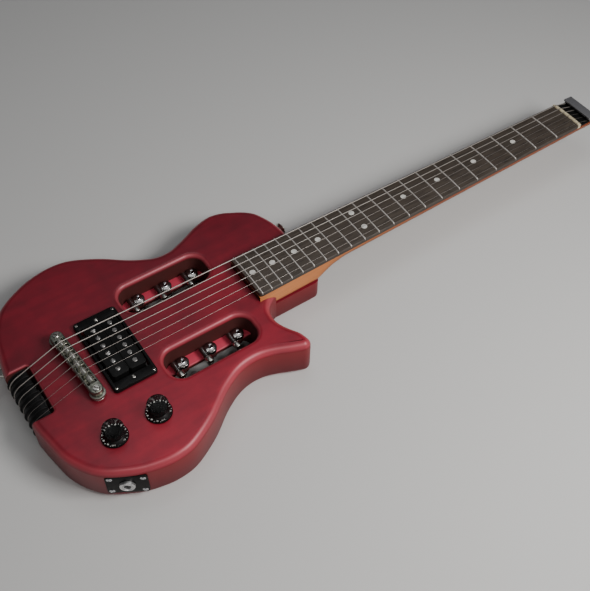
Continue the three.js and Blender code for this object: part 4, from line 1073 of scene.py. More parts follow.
def fret_shape(number, arch=8, steps=10):
    """A crowned bar across the board, rounded down at both ends, over its tang."""
    x = fret_x(number)
    half = neck_half(x) - fit_gap
    ends = [half - fret_end * (1 - math.sin(t)) for t in np.linspace(0, math.pi / 2, 5)]
    between = np.linspace(-1, 1, steps + 1)[1:-1] * (half - fret_end)
    stations = [*(-y for y in reversed(ends)), *between, *ends]
    angle = np.linspace(0, math.pi, arch + 1)
    curve = list(zip(np.cos(angle), np.sin(angle)))
    rings = []
    for y in stations:
        over = max(0.0, (abs(y) - half + fret_end) / fret_end)
        shrink = max(0.12, math.sqrt(max(0.0, 1 - over * over)))
        base = board_top_at(x, y) - fret_seat
        wide, high = fret_width / 2 * (0.6 + 0.4 * shrink), fret_height * shrink
        ring = [(x + wide * c, y, base + fret_seat + high * s) for c, s in curve]
        rings.append([*ring, *((ring[end][0], y, base - 2 * fret_seat) for end in (-1, 0))])
    full = neck_half(x) + tang_out
    side = board_top_at(x, full)
    tang = block((x - tang_half, -full, side - tang_below), (x + tang_half, full, side + tang_above))
    return merge(loft(rings), tang)


def dot_shape(x, y):
    profile = [(0, -0.8), (dot_radius, -0.8), (dot_radius, -0.02), (dot_radius - 0.05, 0), (0, 0)]
    tilt = Matrix.Rotation(-math.asin(y / crown_radius), 4, "X")
    return moved(lathe(profile, 40), at(x, y, board_top_at(x, y) + dot_lift) @ tilt)


frets = merge(*[fret_shape(n) for n in range(1, fret_count + 1)])
new_piece("frets", frets, fret_nickel)
dots = []
for number in dotted:
    middle_x = (fret_x(number) + fret_x(number - 1)) / 2
    offsets = (-double_dot_offset, double_dot_offset) if number == 12 else (0,)
    dots += [dot_shape(middle_x, y) for y in offsets]
new_piece("position_dots", merge(*dots), pearl)
print("frets:", fret_count, "dots:", len(dots))

# %% [markdown]
# **Nut and string anchor.** The strings lie in shallow slots in the nut. Behind it each string dips
# under the lip of a dark metal bar, which holds it at the very end of the neck: there is no headstock.
# A thin black plate lies before the bar, under the strings.

# %% The nut
string_radius = {"low_e": 0.58, "a": 0.46, "d": 0.33, "g": 0.24, "b": 0.19, "high_e": 0.16}
string_names = list(string_radius)
nut_spread, bridge_spread = 36, 50.4
string_share = {name: 0.5 - i / (len(string_names) - 1) for i, name in enumerate(string_names)}
nut_lift, nut_thickness, nut_drop = 0.5, nut_high[0] - nut_low[0], 1.3
nut_front, nut_back, nut_end_drop = scale_length, scale_length + nut_thickness, 0.5
slot_room, slot_height, slot_overrun = 0.06, 1.4, 2


def nut_string_bottom(y):
    return board_top_at(scale_length, y) + fret_height + nut_lift


def nut_shape(grip=0.25, ease=0.45):
    rings = []
    for y in np.linspace(nut_high[1], nut_low[1], 25):
        top = nut_string_bottom(min(abs(y), nut_spread / 2)) + grip
        top -= nut_end_drop if y in (nut_high[1], nut_low[1]) else 0
        section = [(nut_front, board_bottom), (nut_back, board_bottom), (nut_back, top - nut_drop - ease)]
        section += [(nut_back - ease, top - nut_drop), (nut_front + ease, top), (nut_front, top - ease)]
        rings.append([(x, y, z) for x, z in section])
    slots = []
    for name, radius in string_radius.items():
        y, z = nut_spread * string_share[name], nut_string_bottom(nut_spread * string_share[name]) + radius
        bars = []
        for lift in np.linspace(0, slot_height, 5):
            start = (nut_front - slot_overrun, y, z + lift + 0.04)
            end = (nut_back + slot_overrun, y, z + lift - nut_drop)
            bars.append(bar(radius + slot_room, start, end, 16))
        slots.append(boolean(bars[0], bars[1:], "UNION"))
    return carve(loft(rings), *slots)


new_piece("nut_bone", nut_shape(), bone, stands_for="nut", smooth=50)
print("strings at the nut:", {n: round(nut_spread * s, 1) for n, s in string_share.items()})

# %% The anchor
anchor_low, anchor_high = box_mm("string_anchor")
bar_width, overhang, top_slope, base_thickness, lip_thickness = 8, 3.8, 0.9, 0.9, 1.6
anchor_entry = anchor_low[2] + base_thickness + 0.4
anchor_face = anchor_high[0] - bar_width


def anchor_shape():
    (back, _, top), bottom, lip = anchor_high, anchor_low[2], anchor_face - overhang
    corners = [(anchor_face, bottom), (back, bottom), (back, top - top_slope), (lip, top)]
    section = eased([*corners, (lip, top - lip_thickness)], 0.35, 4)
    rings = [[(x, y, z) for x, z in section] for y in (anchor_high[1], anchor_low[1])]
    beam = softened(loft(rings), 0.5, 3, 50)
    holes = []
    for name, radius in string_radius.items():
        y, z = nut_spread * string_share[name], anchor_entry + radius
        holes.append(bar(radius + 0.5, (lip - 2, y, z), (anchor_face + 5, y, z - 0.3), 16))
    return carve(beam, *holes)


def anchor_plate():
    far = (anchor_face - 0.05, anchor_high[1], anchor_low[2] + base_thickness)
    return softened(block(anchor_low, far), 0.25, 2)


new_piece(
    "anchor_bar", anchor_shape(), grey_metal, stands_for="string_anchor", smooth=40
)
new_piece("anchor_plate", anchor_plate(), black_lacquer, smooth=40)
print("anchor:", np.round(anchor_low, 1), np.round(anchor_high, 1))

# %% [markdown]
# ## Screws
#
# Small screws hold the pickup ring, the jack plate and the cover. One helper turns a domed head and
# cuts its recess, a cross or a slot, and the pieces that need screws place copies of it.


# %% A screw head
def screw(radius, rise, recess="cross", depth=0.8, below=1.0, sides=28):
    """A domed head whose underside lies at z = 0, on a short shank."""
    sphere = (radius**2 + rise**2) / (2 * rise)
    dome = []
    for share in (1, 0.85, 0.6, 0.3, 0):
        height = rise - sphere + math.sqrt(max(0, sphere**2 - (radius * share) ** 2))
        dome.append((radius * share, height))
    stem = [(0, -below), (radius * 0.5, -below), (radius * 0.5, -0.05), (radius, -0.05)]
    wide, long = radius * 0.17, radius * (1.1 if recess == "slot" else 0.62)
    cuts = [block((-long, -wide, rise - depth), (long, wide, rise + 1))]
    if recess == "cross":
        cuts.append(block((-wide, -long, rise - depth), (wide, long, rise + 1)))
    return carve(lathe([*stem, *dome], sides), *cuts)


def screws(places, twist, *sizes):
    """Copies of one screw, each turned a little further than the one before."""
    return merge(*[moved(screw(*sizes), place @ turned(twist * i)) for i, place in enumerate(places)])


print("a screw head has", len(screw(2, 0.8)[1]), "faces")

# %% [markdown]
# ## Bridge
#
# The bridge is a thick bar of worn nickel on two posts. Thumbwheels under it set its height, and six
# saddles slide in its slot, each on its own screw. The bar stands slightly askew, so it is built
# straight and then turned.

# %% The bar and its screws
bridge_half, bridge_width, bridge_bottom, bridge_top = 42, 12.6, 49.6, 56.2
bridge_face = -bridge_width / 2
slot_half, slot_width, slot_floor = 31, 9.9, 51.4
post_radius, post_top = 3.2, 57.2
screw_radius, screw_height, screw_head, screw_dome, seat_depth = 1.1, 53.4, 2, 0.8, 1.2
thread_depth, thread_steps = 0.16, 48


def saddle_y(name):
    return bridge_spread * string_share[name] / math.cos(bridge_angle)


def bridge_bar():
    plan = rounded(bridge_width, 2 * bridge_half, bridge_width / 2 - fit_gap, 12)
    beam = prism(plan, bridge_bottom, bridge_top, 1.3, 0.8, 5)
    far = (slot_width / 2, slot_half, bridge_top + past)
    cuts = [softened(block((-slot_width / 2, -slot_half, slot_floor), far), 0.4, 2)]
    for y in bridge_sides.values():
        cuts.append(bore(post_radius + fit_gap, (0, y), bridge_bottom - past, bridge_top + past, 32))
    for y in map(saddle_y, string_names):
        seat, out = (bridge_face + seat_depth, y, screw_height), (bridge_face - 2, y, screw_height)
        cuts.append(bar(screw_head + 0.3, seat, out))
    return carve(beam, *cuts)


def saddle_screws():
    made = []
    for name in string_names:
        y = saddle_y(name)
        shank = []
        for step in range(thread_steps + 1):
            x = bridge_face + 1.1 + step * (bridge_width - 2) / thread_steps
            shank.append((screw_radius - (thread_depth if step % 2 else 0), x))
        rod = lathe([(0, shank[0][1]), *shank, (0, shank[-1][1])], 14)
        made.append(moved(rod, at(0, y, screw_height) @ turned(90, "Y")))
        head = moved(screw(screw_head, screw_dome, "slot", 0.8), turned(20 + 47 * len(made)))
        made.append(moved(head, at(bridge_face + 0.3, y, screw_height) @ turned(-90, "Y")))
    return merge(*made)


beam = moved(bridge_bar(), bridge_frame)
new_piece("bridge_beam", beam, aged_nickel, stands_for="bridge_bar")
new_piece("saddle_screws", moved(saddle_screws(), bridge_frame), bright_nickel)
print("saddle screws at", [round(saddle_y(name), 1) for name in string_names])

# %% Its posts, thumbwheels and inserts
wheel_radius, wheel_thickness, tooth_depth = 7.6, 2.6, 0.35
post_thread, post_pitch, post_slot = 0.25, 0.35, 1.3
insert_radius, insert_chamfer = 5.3, 0.3


def thumbwheel(bottom, teeth=40):
    outline = []
    for i, angle in enumerate(np.arange(2 * teeth) * math.pi / teeth):
        radius = wheel_radius - (tooth_depth if i % 2 else 0)
        outline.append((radius * math.cos(angle), radius * math.sin(angle)))
    wheel = prism(np.array(outline), bottom, bottom + wheel_thickness, 0.3, 0.3, 2)
    return carve(wheel, bore(post_radius + fit_gap, (0, 0), bottom - 1, bottom + 4, 32))


def bridge_post():
    bottom = box_mm("bridge_post_bass")[0][2]
    heights = np.arange(bottom + 0.6, bridge_bottom - 0.2, post_pitch)
    threads = [(post_radius - (post_thread if i % 2 else 0), z) for i, z in enumerate(heights)]
    head = [(post_radius, bridge_bottom), (post_radius, post_top - 0.5), (post_radius - 0.5, post_top)]
    slot = block((-0.5, -post_radius - 1, post_top - post_slot), (0.5, post_radius + 1, post_top + 1))
    return carve(lathe([(0, bottom), *threads, *head, (0, post_top)], 32), moved(slot, turned(35)))


def bridge_insert():
    low, high = box_mm("bridge_insert_bass")
    inside, flange, seat = post_radius + fit_gap, (high[0] - low[0]) / 2, body_top + fit_gap
    profile = [
        (inside, low[2]), (insert_radius, low[2]), (insert_radius, seat), (flange, seat),
        (flange, high[2] - insert_chamfer), (flange - insert_chamfer, high[2]),
        (inside + insert_chamfer, high[2]), (inside, high[2] - insert_chamfer), (inside, low[2]),
    ]  # fmt: skip
    return tubular(profile, 40)


for side, y in bridge_sides.items():
    stand = bridge_frame @ at(0, y, 0)
    for name, shape, metal, node in (
        ("wheel", thumbwheel(box_mm(f"thumbwheel_{side}")[0][2]), aged_nickel, "thumbwheel"),
        ("stud", bridge_post(), bright_nickel, "bridge_post"),
        ("insert", bridge_insert(), bright_nickel, "bridge_insert"),
    ):
        replaced = f"{node}_{side}"
        new_piece(f"{name}_{side}", moved(shape, stand), metal, stands_for=replaced)
print("bridge posts at", [round(v, 1) for v in bridge_sides.values()])

# %% [markdown]
# **Saddles.** Each is a small block whose top comes to a flat crest with a notch for its string. The
# notch follows the string as it falls to the turn block, and leaves room for the saddle's travel. They
# slide, so each is a piece of its own that rides on its own body.

# %% The saddles
saddle_length, saddle_width, saddle_shoulder, saddle_crest = 4.6, 7.7, 2.2, 0.9
string_bend, notch_room, notch_gap, crest_cover = 0.3, 0.36, 0.22, 0.25
bridge_string_height = 59.9
saddle_middles = {name: np.add(*box_mm(f"saddle_{name}")) / 2 for name in string_names}


def string_top(name):
    """Where the middle of a string runs over its saddle."""
    return bridge_string_height - crown(bridge_spread * string_share[name]) + string_radius[name]


def turn_start(name):
    """The angle round the turn block at which the string meets it."""
    to_x, to_z = saddle_middles[name][0] - 2 - turn_middle.x, string_top(name) - turn_middle.z
    reach = turn_radius + string_radius[name]
    return math.atan2(to_z, to_x) + math.acos(reach / math.hypot(to_x, to_z))


def notch_bar(name):
    """Follows the string down to the block, low enough for the saddle to slide back under it."""
    joint = next(one for one in frame["joints"] if one["name"] == f"saddle_{name}_slide")
    bend = -joint["range_m"][0] / MM - string_bend
    start, reach = turn_start(name), turn_radius + string_radius[name]
    drop = string_top(name) - turn_middle.z - reach * math.sin(start)
    fall = drop / (saddle_middles[name][0] - string_bend - turn_middle.x - reach * math.cos(start))
    ends = [(x, 0, string_top(name) - (bend - x) * fall + notch_room - notch_gap) for x in (-4, 4)]
    return bar(string_radius[name] + notch_room, *ends, 16)


def saddle_shape(name):
    low, crest = slot_floor + fit_gap, string_top(name) - string_radius[name] + crest_cover
    half, shoulder = saddle_length / 2, crest - saddle_shoulder
    corners = [(-half, low), (half, low), (half, shoulder)]
    corners += [(saddle_crest / 2, crest), (-saddle_crest / 2, crest), (-half, shoulder)]
    section = eased(corners, 0.3, 3)
    shape = loft([[(x, y, z) for x, z in section] for y in (saddle_width / 2, -saddle_width / 2)])
    screw_hole = bar(screw_radius + 0.15, (-4, 0, screw_height), (4, 0, screw_height), 20)
    return carve(softened(shape, 0.25, 2, 60), notch_bar(name), screw_hole)


for name, (x, y, _) in saddle_middles.items():
    shape = moved(saddle_shape(name), at(x, y, 0) @ Matrix.Rotation(bridge_angle, 4, "Z"))
    saddle = f"saddle_{name}"
    new_piece(f"saddle_block_{name}", shape, saddle_nickel, saddle, saddle)
print("saddles:", {n: [round(v, 1) for v in m[:2]] for n, m in saddle_middles.items()})

# %% [markdown]
# ## Pickup
#
# A humbucker: two black bobbins side by side in a black mounting ring. One row of poles has slotted
# screws, the other plain slugs. Four screws hold the ring, two more set the height of the coils.

# %% The ring and its screws
ring_width, ring_length, ring_corner = ring_high[0] - ring_low[0], ring_high[1] - ring_low[1], 3.5
ring_bottom, ring_top = body_top + fit_gap, body_top + fit_gap + 4
height_spacing, height_bore = 78, 2.3
ring_screw_x, ring_screw_y = ring_width / 2 - 3.1, ring_length / 2 - 3.3
pickup_place = at(pickup_x, 0, 0)


def pickup_ring():
    plate = prism(rounded(ring_width, ring_length, ring_corner, 8), ring_bottom, ring_top, 1.1, 0, 5)
    window = flared(rounded(window_width, window_length, 1.8, 6), ring_bottom - past, ring_top, 0, 0.4, 3)
    holes = []
    for y in (height_spacing / 2, -height_spacing / 2):
        hole = bore(height_bore, (0, y), ring_bottom - past, ring_top + past, 28)
        holes.append(moved(hole, at(0, 0, 4.2)))
    return carve(plate, window, *holes)


corners = [(-1, -1), (-1, 1), (1, -1), (1, 1)]
corner_places = [at(sx * ring_screw_x, sy * ring_screw_y, ring_top - 0.15) for sx, sy in corners]
side_places = [at(0, side * height_spacing / 2, ring_top - 0.2) @ turned(40) for side in (1, -1)]
height_screws = screws(side_places, 60, 1.9, 0.7, "slot", 0.7, 9)
ring_screws = merge(screws(corner_places, 17, 1.7, 0.7, "cross", 0.6), height_screws)
ring = moved(pickup_ring(), pickup_place)
new_piece("pickup_frame", ring, black_plastic, stands_for="pickup_ring")
new_piece("ring_screws", moved(ring_screws, pickup_place), bright_nickel)
print("pickup at x =", round(pickup_x, 1))

# %% Bobbins, coils and poles
bobbin_length, bobbin_corner, bobbin_top, bobbin_bottom, row_spacing = 66, 3, 51.8, 38.2, 17.4
flange_thickness, foot_thickness, coil_inset = 1.7, 1.2, 0.7
pole_radius, pole_spread, pole_rise = 2.4, 51.2, 0.5


def bobbin_parts():
    """The two flanges, and the coil between them."""
    flange = rounded(row_spacing - fit_gap, bobbin_length, bobbin_corner, 8)
    top = prism(flange, bobbin_top - flange_thickness, bobbin_top, 0.35, 0.2, 3)
    foot = prism(flange, bobbin_bottom, bobbin_bottom + foot_thickness)
    return merge(top, foot), prism(grown(flange, -coil_inset), bobbin_bottom + 1, bobbin_top - 1.6)


def poles(slotted):
    made = []
    for name in string_names:
        if slotted:
            pole = moved(screw(pole_radius, 0.85, "slot", 0.75, 3), turned(63 * len(made) + 10))
        else:
            rim = [(pole_radius, pole_rise / 2), (pole_radius - 0.3, pole_rise), (0, pole_rise)]
            pole = lathe([(0, -3), (pole_radius, -3), *rim], 32)
        made.append(moved(pole, at(0, pole_spread * string_share[name], bobbin_top - 0.05)))
    return merge(*made)


for name, side, metal in (("bridge", -1, steel), ("neck", 1, slug_nickel)):
    place = pickup_place @ at(side * row_spacing / 2, 0, 0)
    bobbin, coil = (moved(part, place) for part in bobbin_parts())
    node = f"pickup_bobbin_{name}"
    new_piece(f"bobbin_{name}", bobbin, black_lacquer, stands_for=node)
    new_piece(f"coil_{name}", coil, dull_plastic)
    new_piece(f"poles_{name}", moved(poles(side < 0), place), metal)
print("rows of poles:", row_spacing, "mm apart")

# %% [markdown]
# ## Knobs
#
# Each knob is a clear smoked shell round a black core. The core's skirt carries the numbers 0 to 10 and a
# tick between each pair, so they are seen all the way round, through the shell. The numbers are real
# geometry: Blender's own font gives flat letters, which are laid on the slope of the skirt.

# %% Shells and cores
skirt_radius, waist_radius, cap_radius = 12.5, 10.8, 9.8
knob_bottom, knob_height = box_mm("volume_knob")[0][2], 15.5
knob_shaft, shaft_height = 3.3, 9
core_bottom, core_radius, core_rise, core_waist, core_top = knob_bottom + 0.2, 12.0, 1.3, 7.4, 4.6
slope_top = 2.7


def knob_shell():
    foot, top = knob_bottom, knob_bottom + knob_height
    profile = [
        (0, foot + shaft_height), (knob_shaft, foot + shaft_height), (knob_shaft, foot + 0.1),
        (skirt_radius - 0.3, foot), (skirt_radius, foot + 0.3), (skirt_radius, foot + 1.1),
        (skirt_radius - 0.2, foot + 1.5), (waist_radius + 0.5, foot + 3.3), (waist_radius, foot + 4.2),
        (cap_radius + 0.2, top - 1.6), (cap_radius, top - 0.9), (cap_radius - 0.25, top - 0.3),
        (cap_radius - 0.9, top), (cap_radius - 1.6, top - 0.05), (0, top - 0.3),
    ]  # fmt: skip
    return lathe(profile, 96)


def knob_core():
    foot = core_bottom
    profile = [
        (3.4, foot), (core_radius, foot), (core_radius, foot + core_rise),
        (core_waist + 0.3, foot + slope_top), (core_waist, foot + slope_top + 0.3),
        (core_waist - 0.3, foot + core_top), (4.2, foot + core_top + 0.3), (4, foot + 9.6), (0, foot + 9.8),
        (0, foot + shaft_height), (3.4, foot + shaft_height), (3.4, foot),
    ]  # fmt: skip
    return tubular(profile, 64)


print("knobs at", {n: tuple(np.round(m, 1)) for n, m in knob_middles.items()})

# %% Numbers and ticks
number_size, number_sweep, last_number = 3.9, 300, 10
tick_half, tick_reach, tick_sunk, tick_rise = 0.32, 0.65, 0.03, 0.08
tick_inset, number_inset = 0.9, 2.1


def flat_text(words, size, thickness=0.12):
    """Letters as a closed shape: centred on the origin, facing up."""
    curve = bpy.data.curves.new("letters", "FONT")
    curve.body, curve.size, curve.extrude = words, size, thickness / 2
    curve.align_x, curve.align_y = "CENTER", "CENTER"
    curve.offset = size * 0.02
    curve.resolution_u = 3
    thing = new_object("letters", curve)
    bpy.context.view_layer.update()
    made = read_back(thing)
    bpy.data.objects.remove(thing)
    bpy.data.curves.remove(curve)
    return made


def knob_marks():
    slope = math.atan2(slope_top - core_rise, core_radius - core_waist)
    lie = turned(-90) @ Matrix.Rotation(slope, 4, "X")
    made = []
    for step in range(2 * last_number + 1):
        if step % 2:
            mark = block((-tick_half, -tick_reach, -tick_sunk), (tick_half, tick_reach, tick_rise))
            out = core_radius - tick_inset
        else:
            mark, out = flat_text(str(step // 2), number_size), core_radius - number_inset
        height = core_bottom + core_rise + (core_radius - out) * math.tan(slope)
        spin = turned(step * number_sweep / (2 * last_number))
        made.append(moved(mark, spin @ at(out, 0, height) @ lie))
    return merge(*made)


print("ticks and numbers:", 2 * last_number + 1)

# %% [markdown]
# **Smoke.** The shell is nearly clear from outside and nearly black on its inner faces, so the core's
# skirt shows and the far wall doesn't. It lets most of the light through, so it casts a thin shadow.

# %% Smoke the shells and place the knobs
smoke = handled_finish("knob_smoke", 0.005, 0.01, 0.03, 0, (0.12, 0.2), 0.2, 0.3, Specular_IOR_Level=0.25)
tree = smoke.node_tree
inside = remap(tree, wire(tree, "ShaderNodeNewGeometry")["Backfacing"], 0.0, 1.0, 0.26, 0.93)
shaded = remap(tree, wire(tree, "ShaderNodeLightPath")["Is Shadow Ray"], 0.0, 1.0, 1.0, 0.25)
feed(tree, tree.nodes["Principled BSDF"].inputs, {"Alpha": compute(tree, "MULTIPLY", inside, shaded)})
number_start = {"volume": -60, "tone": -35}
for name, middle in knob_middles.items():
    place, control = at(*middle, 0), f"{name}_control"
    marks = moved(knob_marks(), place @ turned(number_start[name]))
    new_piece(f"{name}_shell", moved(knob_shell(), place), smoke, control, f"{name}_knob")
    new_piece(f"{name}_core", moved(knob_core(), place), dull_plastic, control)
    new_piece(f"{name}_numbers", marks, paint, control)
print("numbers start at", number_start, "degrees")

# %% [markdown]
# ## Jack plate, strap buttons and cover

# %% The jack
plate_corner, barrel_radius, jack_bore, jack_ring, ring_depth = 3, 5.6, 3.25, 7, 2.6
barrel_length, screw_inset = 24, 4


def jack_plate():
    plan = rounded(jack_plate_length, jack_plate_height, plate_corner, 8)
    plate = prism(plan, jack_seat, jack_seat + jack_plate_thickness, 0.5, 0.2, 3)
    return carve(plate, bore(barrel_radius + 0.2, (0, 0), -6, 4, 40))


def jack_socket():
    face = jack_seat + jack_plate_thickness
    end, near, outer = face - barrel_length, face + 0.1, face + 0.1 + ring_depth
    profile = [
        (jack_bore + 0.7, end), (barrel_radius - 0.2, end), (barrel_radius - 0.2, near), (jack_ring, near),
        (jack_ring, face + 0.7), (jack_ring - 0.5, face + 0.9), (jack_ring - 0.5, face + 1.0),
        (jack_ring, face + 1.2), (jack_ring, outer - 0.6), (jack_ring - 0.5, outer),
        (barrel_radius - 0.3, outer), (barrel_radius - 0.6, outer - 0.5),
        (barrel_radius - 1.1, outer - 0.5), (barrel_radius - 1.2, outer - 0.1),
        (jack_bore + 0.5, outer - 0.1), (jack_bore, outer - 0.6), (jack_bore, end + 3),
        (jack_bore + 0.7, end),
    ]  # fmt: skip
    return tubular(profile, 48)


screw_x, screw_y = jack_plate_length / 2 - screw_inset, jack_plate_height / 2 - screw_inset
screw_places = [at(x, y, jack_seat + 1.9) for y in (screw_y, -screw_y) for x in (screw_x, -screw_x)]
screw_places[2:] = screw_places[:1:-1]  # round the plate
plate_screws = screws(screw_places, 31, 2.8, 1.1, "cross", 0.5)
plate = moved(jack_plate(), jack_frame)
new_piece("jack_cover", plate, black_lacquer, stands_for="jack_plate")
socket = moved(jack_socket(), jack_frame)
new_piece("jack_barrel", socket, barrel_chrome, stands_for="jack_socket")
new_piece("jack_screws", moved(plate_screws, jack_frame), chrome)
print("jack bore, mm:", 2 * jack_bore)


# %% Strap buttons and back cover
def strap_button():
    profile = [
        (0, -16), (0.3, -16), (2, -12), (2, 0.3), (5.2, 0.3), (5.1, 1.2), (4.2, 3.2), (3.6, 5.6), (3.7, 7),
        (4.8, 8.8), (6.4, 10.1), (7, 10.6), (7, 11.4), (6.6, 11.9), (5.2, 12.3), (3.6, 12.5), (3.4, 12.2),
        (0, 12.2),
    ]  # fmt: skip
    return merge(lathe(profile, 56), moved(screw(3.1, 0.7, "cross", 1.0), at(0, 0, 11.8)))


for name, place in strap_frames.items():
    new_piece(f"{name}_turned", moved(strap_button(), place), bright_nickel, stands_for=name)

cover_plan = rounded(*cover_size[:2], cover_corner, 12, cover_middle[:2])
lid = prism(cover_plan, cover_low[2], cover_high[2], 0, 0.5, 3)
spots = [cover_middle[:2] + np.array(corner) * (cover_size[:2] / 2 - 9) for corner in corners]
heads = screws([at(x, y, 0.75) @ turned(180, "X") for x, y in spots], 0, 2.4, 0.7, "cross", 0.7, 1)
new_piece("back_cover", lid, black_plastic, stands_for="control_cover")
new_piece("cover_screws", heads, bright_nickel)
print("strap buttons:", list(strap_frames))

# %% [markdown]
# ## Turn block
#
# The strings run over this black block in the butt notch and back underneath. Its ribs keep them apart.

# %% The ribbed block
flat_reach, rib_width, rib_foot, rib_edge = turn_high[0] - turn_middle.x, 1.0, 0.25, 0.5


def turn_block():
    half = turn_high[1]
    pitch = bridge_spread / (len(string_names) - 1)
    ribs = [-half + rib_width / 2, half - rib_width / 2]
    ribs += [bridge_spread * string_share[name] - pitch / 2 for name in string_names[:-1]]
    low, high = turn_radius - fit_gap, turn_radius + rib_height
    profile = [(0, -half)]
    for y in sorted(ribs):
        left, right = max(y - rib_width / 2, -half), min(y + rib_width / 2, half)
        profile += [(low, left - rib_foot if left > -half else left), (high - rib_edge, left)]
        profile += [(high, left + rib_edge), (high, right - rib_edge)]
        profile += [(high - rib_edge, right), (low, right + rib_foot if right < half else right)]
    profile.append((0, half))
    shape = moved(lathe(profile, 72), Matrix.Translation(turn_middle) @ turned(-90, "X"))
    cut = block((turn_middle.x + flat_reach, -40, 0), (turn_middle.x + 40, 40, 60))
    side = Vector((0, 40, 0))
    return carve(shape, cut, bar(axle_radius + 0.15, turn_middle - side, turn_middle + side))


new_piece(
    "turn_block_ribbed", turn_block(), dull_plastic, stands_for="string_turn_block"
)
print("turn block around", tuple(round(v, 1) for v in turn_middle))

# %% [markdown]
# ## Tuners
#
# Each tuner stands on its ledge: a round chrome housing with a slotted stem on top, a worm shaft that
# points to the middle of the hole with an oval button, and a post that hangs below through a bushing
# and a hex nut. The housing stays, the button turns, and the post turns with it, much slower.

# %% The housing
drum_height, worm_offset, worm_height, wall_offset = 6.4, 8.5, 4.2, 6.9
barrel_end = wall_offset - ledge_width - 3
drum_profile = [
    (0, 0.1), (6.4, 0.1), (6.4, 1.5), (6.15, 1.8), (5.3, 1.9), (5.2, 2.0), (5.2, 2.9), (5.3, 3.0),
    (6.15, 3.1), (6.4, 3.35), (6.4, 4.2), (6.2, 4.55), (5.8, 4.7), (3.2, 5.4), (0, 5.4),
]  # fmt: skip
barrel_profile = [
    (0, 0), (2.9, 0), (3.5, 0.5), (3.5, 8.6), (3.1, 8.9), (3.1, 9.3), (3.5, 9.6), (3.5, 11.0), (2.9, 11.5),
    (0, 11.5),
]  # fmt: skip
under, nut_radius = -ledge_thickness, 5.6


def along_worm(shape, y):
    """Lays a turned shape on the worm's line, so that it starts at y and runs toward -y."""
    return moved(shape, at(-worm_offset, y, worm_height) @ turned(90, "X"))


def housing_shape():
    barrel = along_worm(lathe(barrel_profile, 40), drum_height / 2)
    web = softened(block((-worm_offset - 1, -3.2, 1.0), (-3, 3.0, 5.2)), 0.9, 3)
    bushing = lathe([(0, under - 3.4), (3.9, under - 3.4), (4.1, under - 3.1), (4.1, 0.2), (0, 0.2)], 36)
    hex_nut = prism(circle(nut_radius, 6)[:, :2], under - 3.2, under - 0.6, 0.25, 0.4, 2)
    washer = lathe([(0, under - 0.6), (6.2, under - 0.6), (6.2, under - 0.05), (0, under - 0.05)], 36)
    joined = boolean(lathe(drum_profile, 56), [barrel, web, bushing, hex_nut, washer], "UNION")
    shaft_ends = [(-worm_offset, barrel_end + step, worm_height) for step in (6, -3)]
    return carve(joined, bore(3.25, (0, 0), under - 8, 3.2, 32), bar(1.95, *shaft_ends, 20))


def cap_shape():
    """The stem that stands on the drum, with a slot across its end."""
    stem = lathe([(0, 0), (3, 0), (2.3, 0.4), (1.9, 1), (1.9, 3.7), (1.6, 4.2), (1, 4.4), (0, 4.4)], 32)
    return carve(stem, block((-3, -0.3, 3.7), (3, 0.3, 5)))


print("tuners:", len(tuner_places))

# %% Posts and buttons
winder_radius, winder_waist, waist_half = 3, 2.3, 3 * 0.8
post_line = turn_middle.z - turn_radius - ledge_top
button_half_width, button_half_height, button_power, button_sides = 3.4, 5, 2 / 2.6, 44
button_insets = ((0, 1.5), (0.3, 0.6), (0.9, 0.15), (1.6, 0), (5.6, 0), (6.3, 0.15), (6.9, 0.6), (7.2, 1.5))


def post_shape():
    tip = box_mm("tuner_post_a")[0][2] - ledge_top
    waist = []
    for t in np.linspace(-math.pi / 2, math.pi / 2, 9):
        radius = winder_waist + (winder_radius - winder_waist) * (1 - math.cos(t))
        waist.append((radius, post_line + waist_half * math.sin(t)))
    profile = [(0, tip), (2.6, tip), (winder_radius, tip + 0.4), *waist, (winder_radius, 3), (0, 3)]
    return carve(lathe(profile, 36), bar(0.75, (-4, 0, post_line - 0.4), (4, 0, post_line - 0.4), 16))


def button_shape():
    start = barrel_end - 1.6
    angle = np.arange(button_sides) * 2 * math.pi / button_sides
    c, s = np.cos(angle), np.sin(angle)
    rings = []
    for along, inset in button_insets:
        x = -worm_offset + (button_half_width - inset) * np.sign(c) * np.abs(c) ** button_power
        z = worm_height + (button_half_height - inset) * np.sign(s) * np.abs(s) ** button_power
        rings.append(np.stack([x, np.full(button_sides, start - along), z], 1))
    shaft = lathe([(0, 0), (1.7, 0), (1.7, 5.4), (2.6, 5.6), (2.6, 7.3), (1.7, 7.4), (1.7, 9), (0, 9)], 28)
    end_screw = screw(1.5, 0.35, "cross", 0.5)
    return merge(loft(rings), along_worm(shaft, barrel_end + 5.6), along_worm(end_screw, start - 7.15))


for name, place in tuner_places.items():
    spot = Matrix.Translation(place)
    cap = moved(cap_shape(), spot @ at(0, 0, drum_height - 1.2) @ turned(25 + 40 * len(name)))
    node, post, button = f"tuner_housing_{name}", f"tuner_post_{name}", f"tuner_button_{name}"
    housing = moved(housing_shape(), spot)
    new_piece(f"housing_{name}", housing, dark_chrome, stands_for=node, smooth=40)
    new_piece(f"cap_screw_{name}", cap, chrome)
    new_piece(f"post_{name}", moved(post_shape(), spot), dark_chrome, post, post)
    new_piece(f"button_{name}", moved(button_shape(), spot), grip_chrome, button, button)
print("string line under the ledge:", round(post_line, 1))

# %% [markdown]
# ## Strings
#
# Each string starts in the anchor bar, bends over the nut and its saddle, turns round the block in the
# butt notch and runs back along the underside to its post, where it takes three turns. The three thick
# strings are wound: their winding is a fine bump along x.


